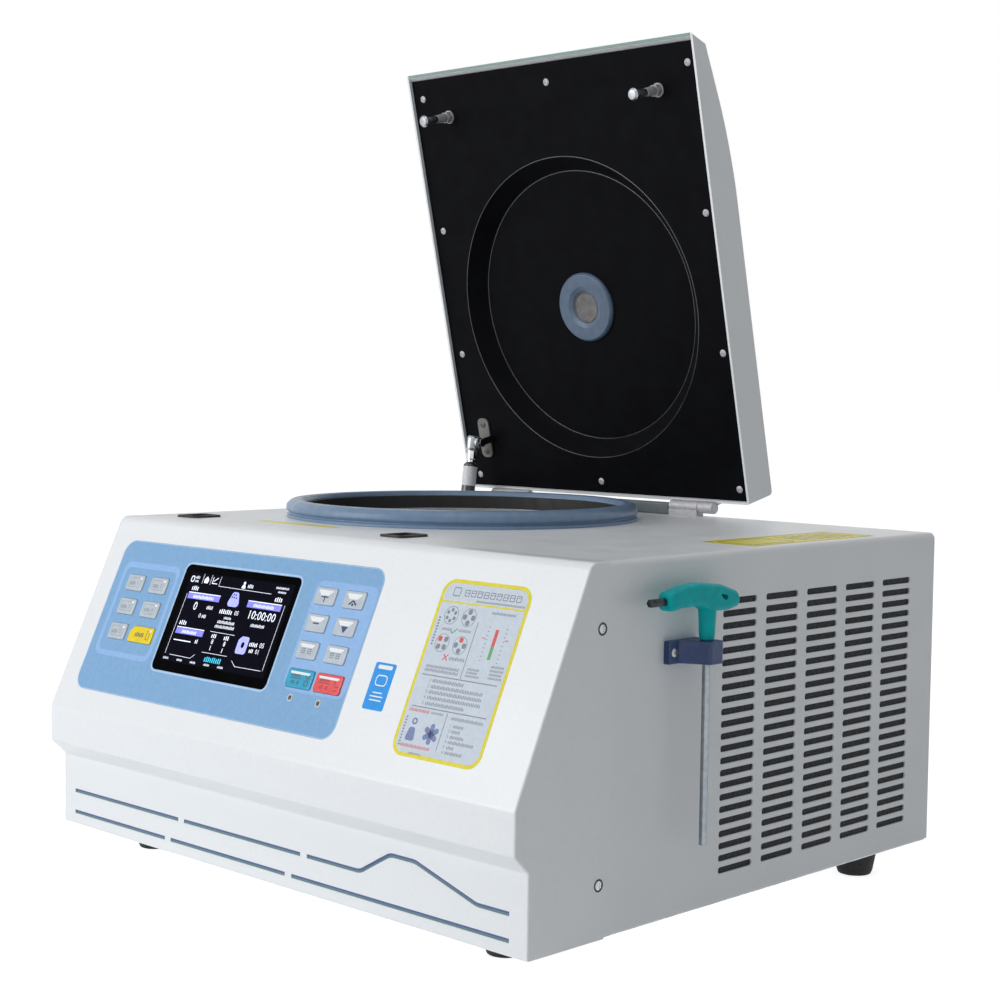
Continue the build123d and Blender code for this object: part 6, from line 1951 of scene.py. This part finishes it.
class CENTRIFUGE_OT_stage(bpy.types.Operator):
    """White floor, a soft light in front, white surroundings and the camera"""

    bl_idname = "centrifuge.stage"
    bl_label = "Stage"

    def execute(self, context):
        scene = context.scene
        colours = scene.centrifuge_colours
        material, shader, place = new_finish("matt_studio_floor", "#F4F6F8", Roughness=0.85, Specular_IOR_Level=0.1)
        shader.inputs["Base Color"].default_value = (*colours.backdrop, 1.0)
        shader.inputs["Emission Color"].default_value = (1, 1, 1, 1)
        white = add_node(
            material, "ShaderNodeMath", {1: FLOOR_GLOW}, {0: seen_directly(material)}, operation="MULTIPLY",
        )
        material.node_tree.links.new(white.outputs[0], shader.inputs["Emission Strength"])
        bm = bmesh.new()
        bmesh.ops.create_grid(bm, x_segments=1, y_segments=1, size=40.0)
        mesh = bpy.data.meshes.new("studio_floor")
        bm.to_mesh(mesh)
        bm.free()
        mesh.materials.append(material)
        floor = bpy.data.objects.new("studio_floor", mesh)
        scene.collection.objects.link(floor)

        power = scene.centrifuge_sizes.key_light
        soft_light("front light", (-1.6, -3.2, 1.2), (0, -0.1, 0.2), 2.2, power)
        soft_light("top light", (0.5, -0.9, 2.6), (0.1, 0, 0.3), 1.4, power * 0.15)
        world = bpy.data.worlds.new("white studio")
        scene.world = world
        world.use_nodes = True
        background = world.node_tree.nodes["Background"]
        level = add_node(
            world, "ShaderNodeMapRange", {"To Min": ROOM_LIGHT, "To Max": 1.0}, {"Value": seen_directly(world)})
        world.node_tree.links.new(level.outputs["Result"], background.inputs["Strength"])
        background.inputs["Color"].default_value = (1, 1, 1, 1)

        yaw, pitch, roll = CAMERA_TURN
        forward = Vector((math.sin(yaw) * math.cos(pitch), math.cos(yaw) * math.cos(pitch), math.sin(pitch)))
        level_right = Vector((math.cos(yaw), -math.sin(yaw), 0))
        level_up = level_right.cross(forward)
        right = math.cos(roll) * level_right + math.sin(roll) * level_up
        up = math.cos(roll) * level_up - math.sin(roll) * level_right
        lens = bpy.data.cameras.new("camera")
        lens.lens = CAMERA_LENS
        lens.sensor_width = 36.0
        lens.clip_start = 0.05
        camera = bpy.data.objects.new("camera", lens)
        camera.matrix_world = Matrix.Translation(CAMERA_PLACE) @ Matrix((right, up, -forward)).transposed().to_4x4()
        scene.collection.objects.link(camera)
        scene.camera = camera
        scene.view_settings.view_transform = "Standard"
        return {"FINISHED"}


OPERATORS = (
    CENTRIFUGE_OT_finishes, CENTRIFUGE_OT_cover, CENTRIFUGE_OT_fascia, CENTRIFUGE_OT_panel, CENTRIFUGE_OT_display,
    CENTRIFUGE_OT_keys, CENTRIFUGE_OT_labels, CENTRIFUGE_OT_latches, CENTRIFUGE_OT_chamber, CENTRIFUGE_OT_rotor,
    CENTRIFUGE_OT_lid, CENTRIFUGE_OT_liner, CENTRIFUGE_OT_lid_fittings, CENTRIFUGE_OT_hinges, CENTRIFUGE_OT_strut,
    CENTRIFUGE_OT_hex_key, CENTRIFUGE_OT_feet, CENTRIFUGE_OT_rear, CENTRIFUGE_OT_machinery, CENTRIFUGE_OT_stage,
)


class CENTRIFUGE_PT_panel(bpy.types.Panel):
    """Sizes, colours and steps of the centrifuge"""

    bl_idname = "CENTRIFUGE_PT_panel"
    bl_label = "Centrifuge"
    bl_space_type = "VIEW_3D"
    bl_region_type = "UI"
    bl_category = "Centrifuge"

    def draw(self, context):
        for group in (context.scene.centrifuge_sizes, context.scene.centrifuge_colours):
            for name in group.bl_rna.properties.keys():
                if name not in ("rna_type", "name"):
                    self.layout.prop(group, name)
        for operator in OPERATORS:
            self.layout.operator(operator.bl_idname)


CLASSES = (CentrifugeSizes, CentrifugeColours, *OPERATORS, CENTRIFUGE_PT_panel)


def register():
    for made in CLASSES:
        bpy.utils.register_class(made)
    bpy.types.Scene.centrifuge_sizes = bpy.props.PointerProperty(type=CentrifugeSizes)
    bpy.types.Scene.centrifuge_colours = bpy.props.PointerProperty(type=CentrifugeColours)


def unregister():
    del bpy.types.Scene.centrifuge_colours
    del bpy.types.Scene.centrifuge_sizes
    for made in reversed(CLASSES):
        bpy.utils.unregister_class(made)


def main():
    register()
    for operator in OPERATORS:
        getattr(bpy.ops.centrifuge, operator.bl_idname.split(".")[1])()


if __name__ == "__main__":
    main()
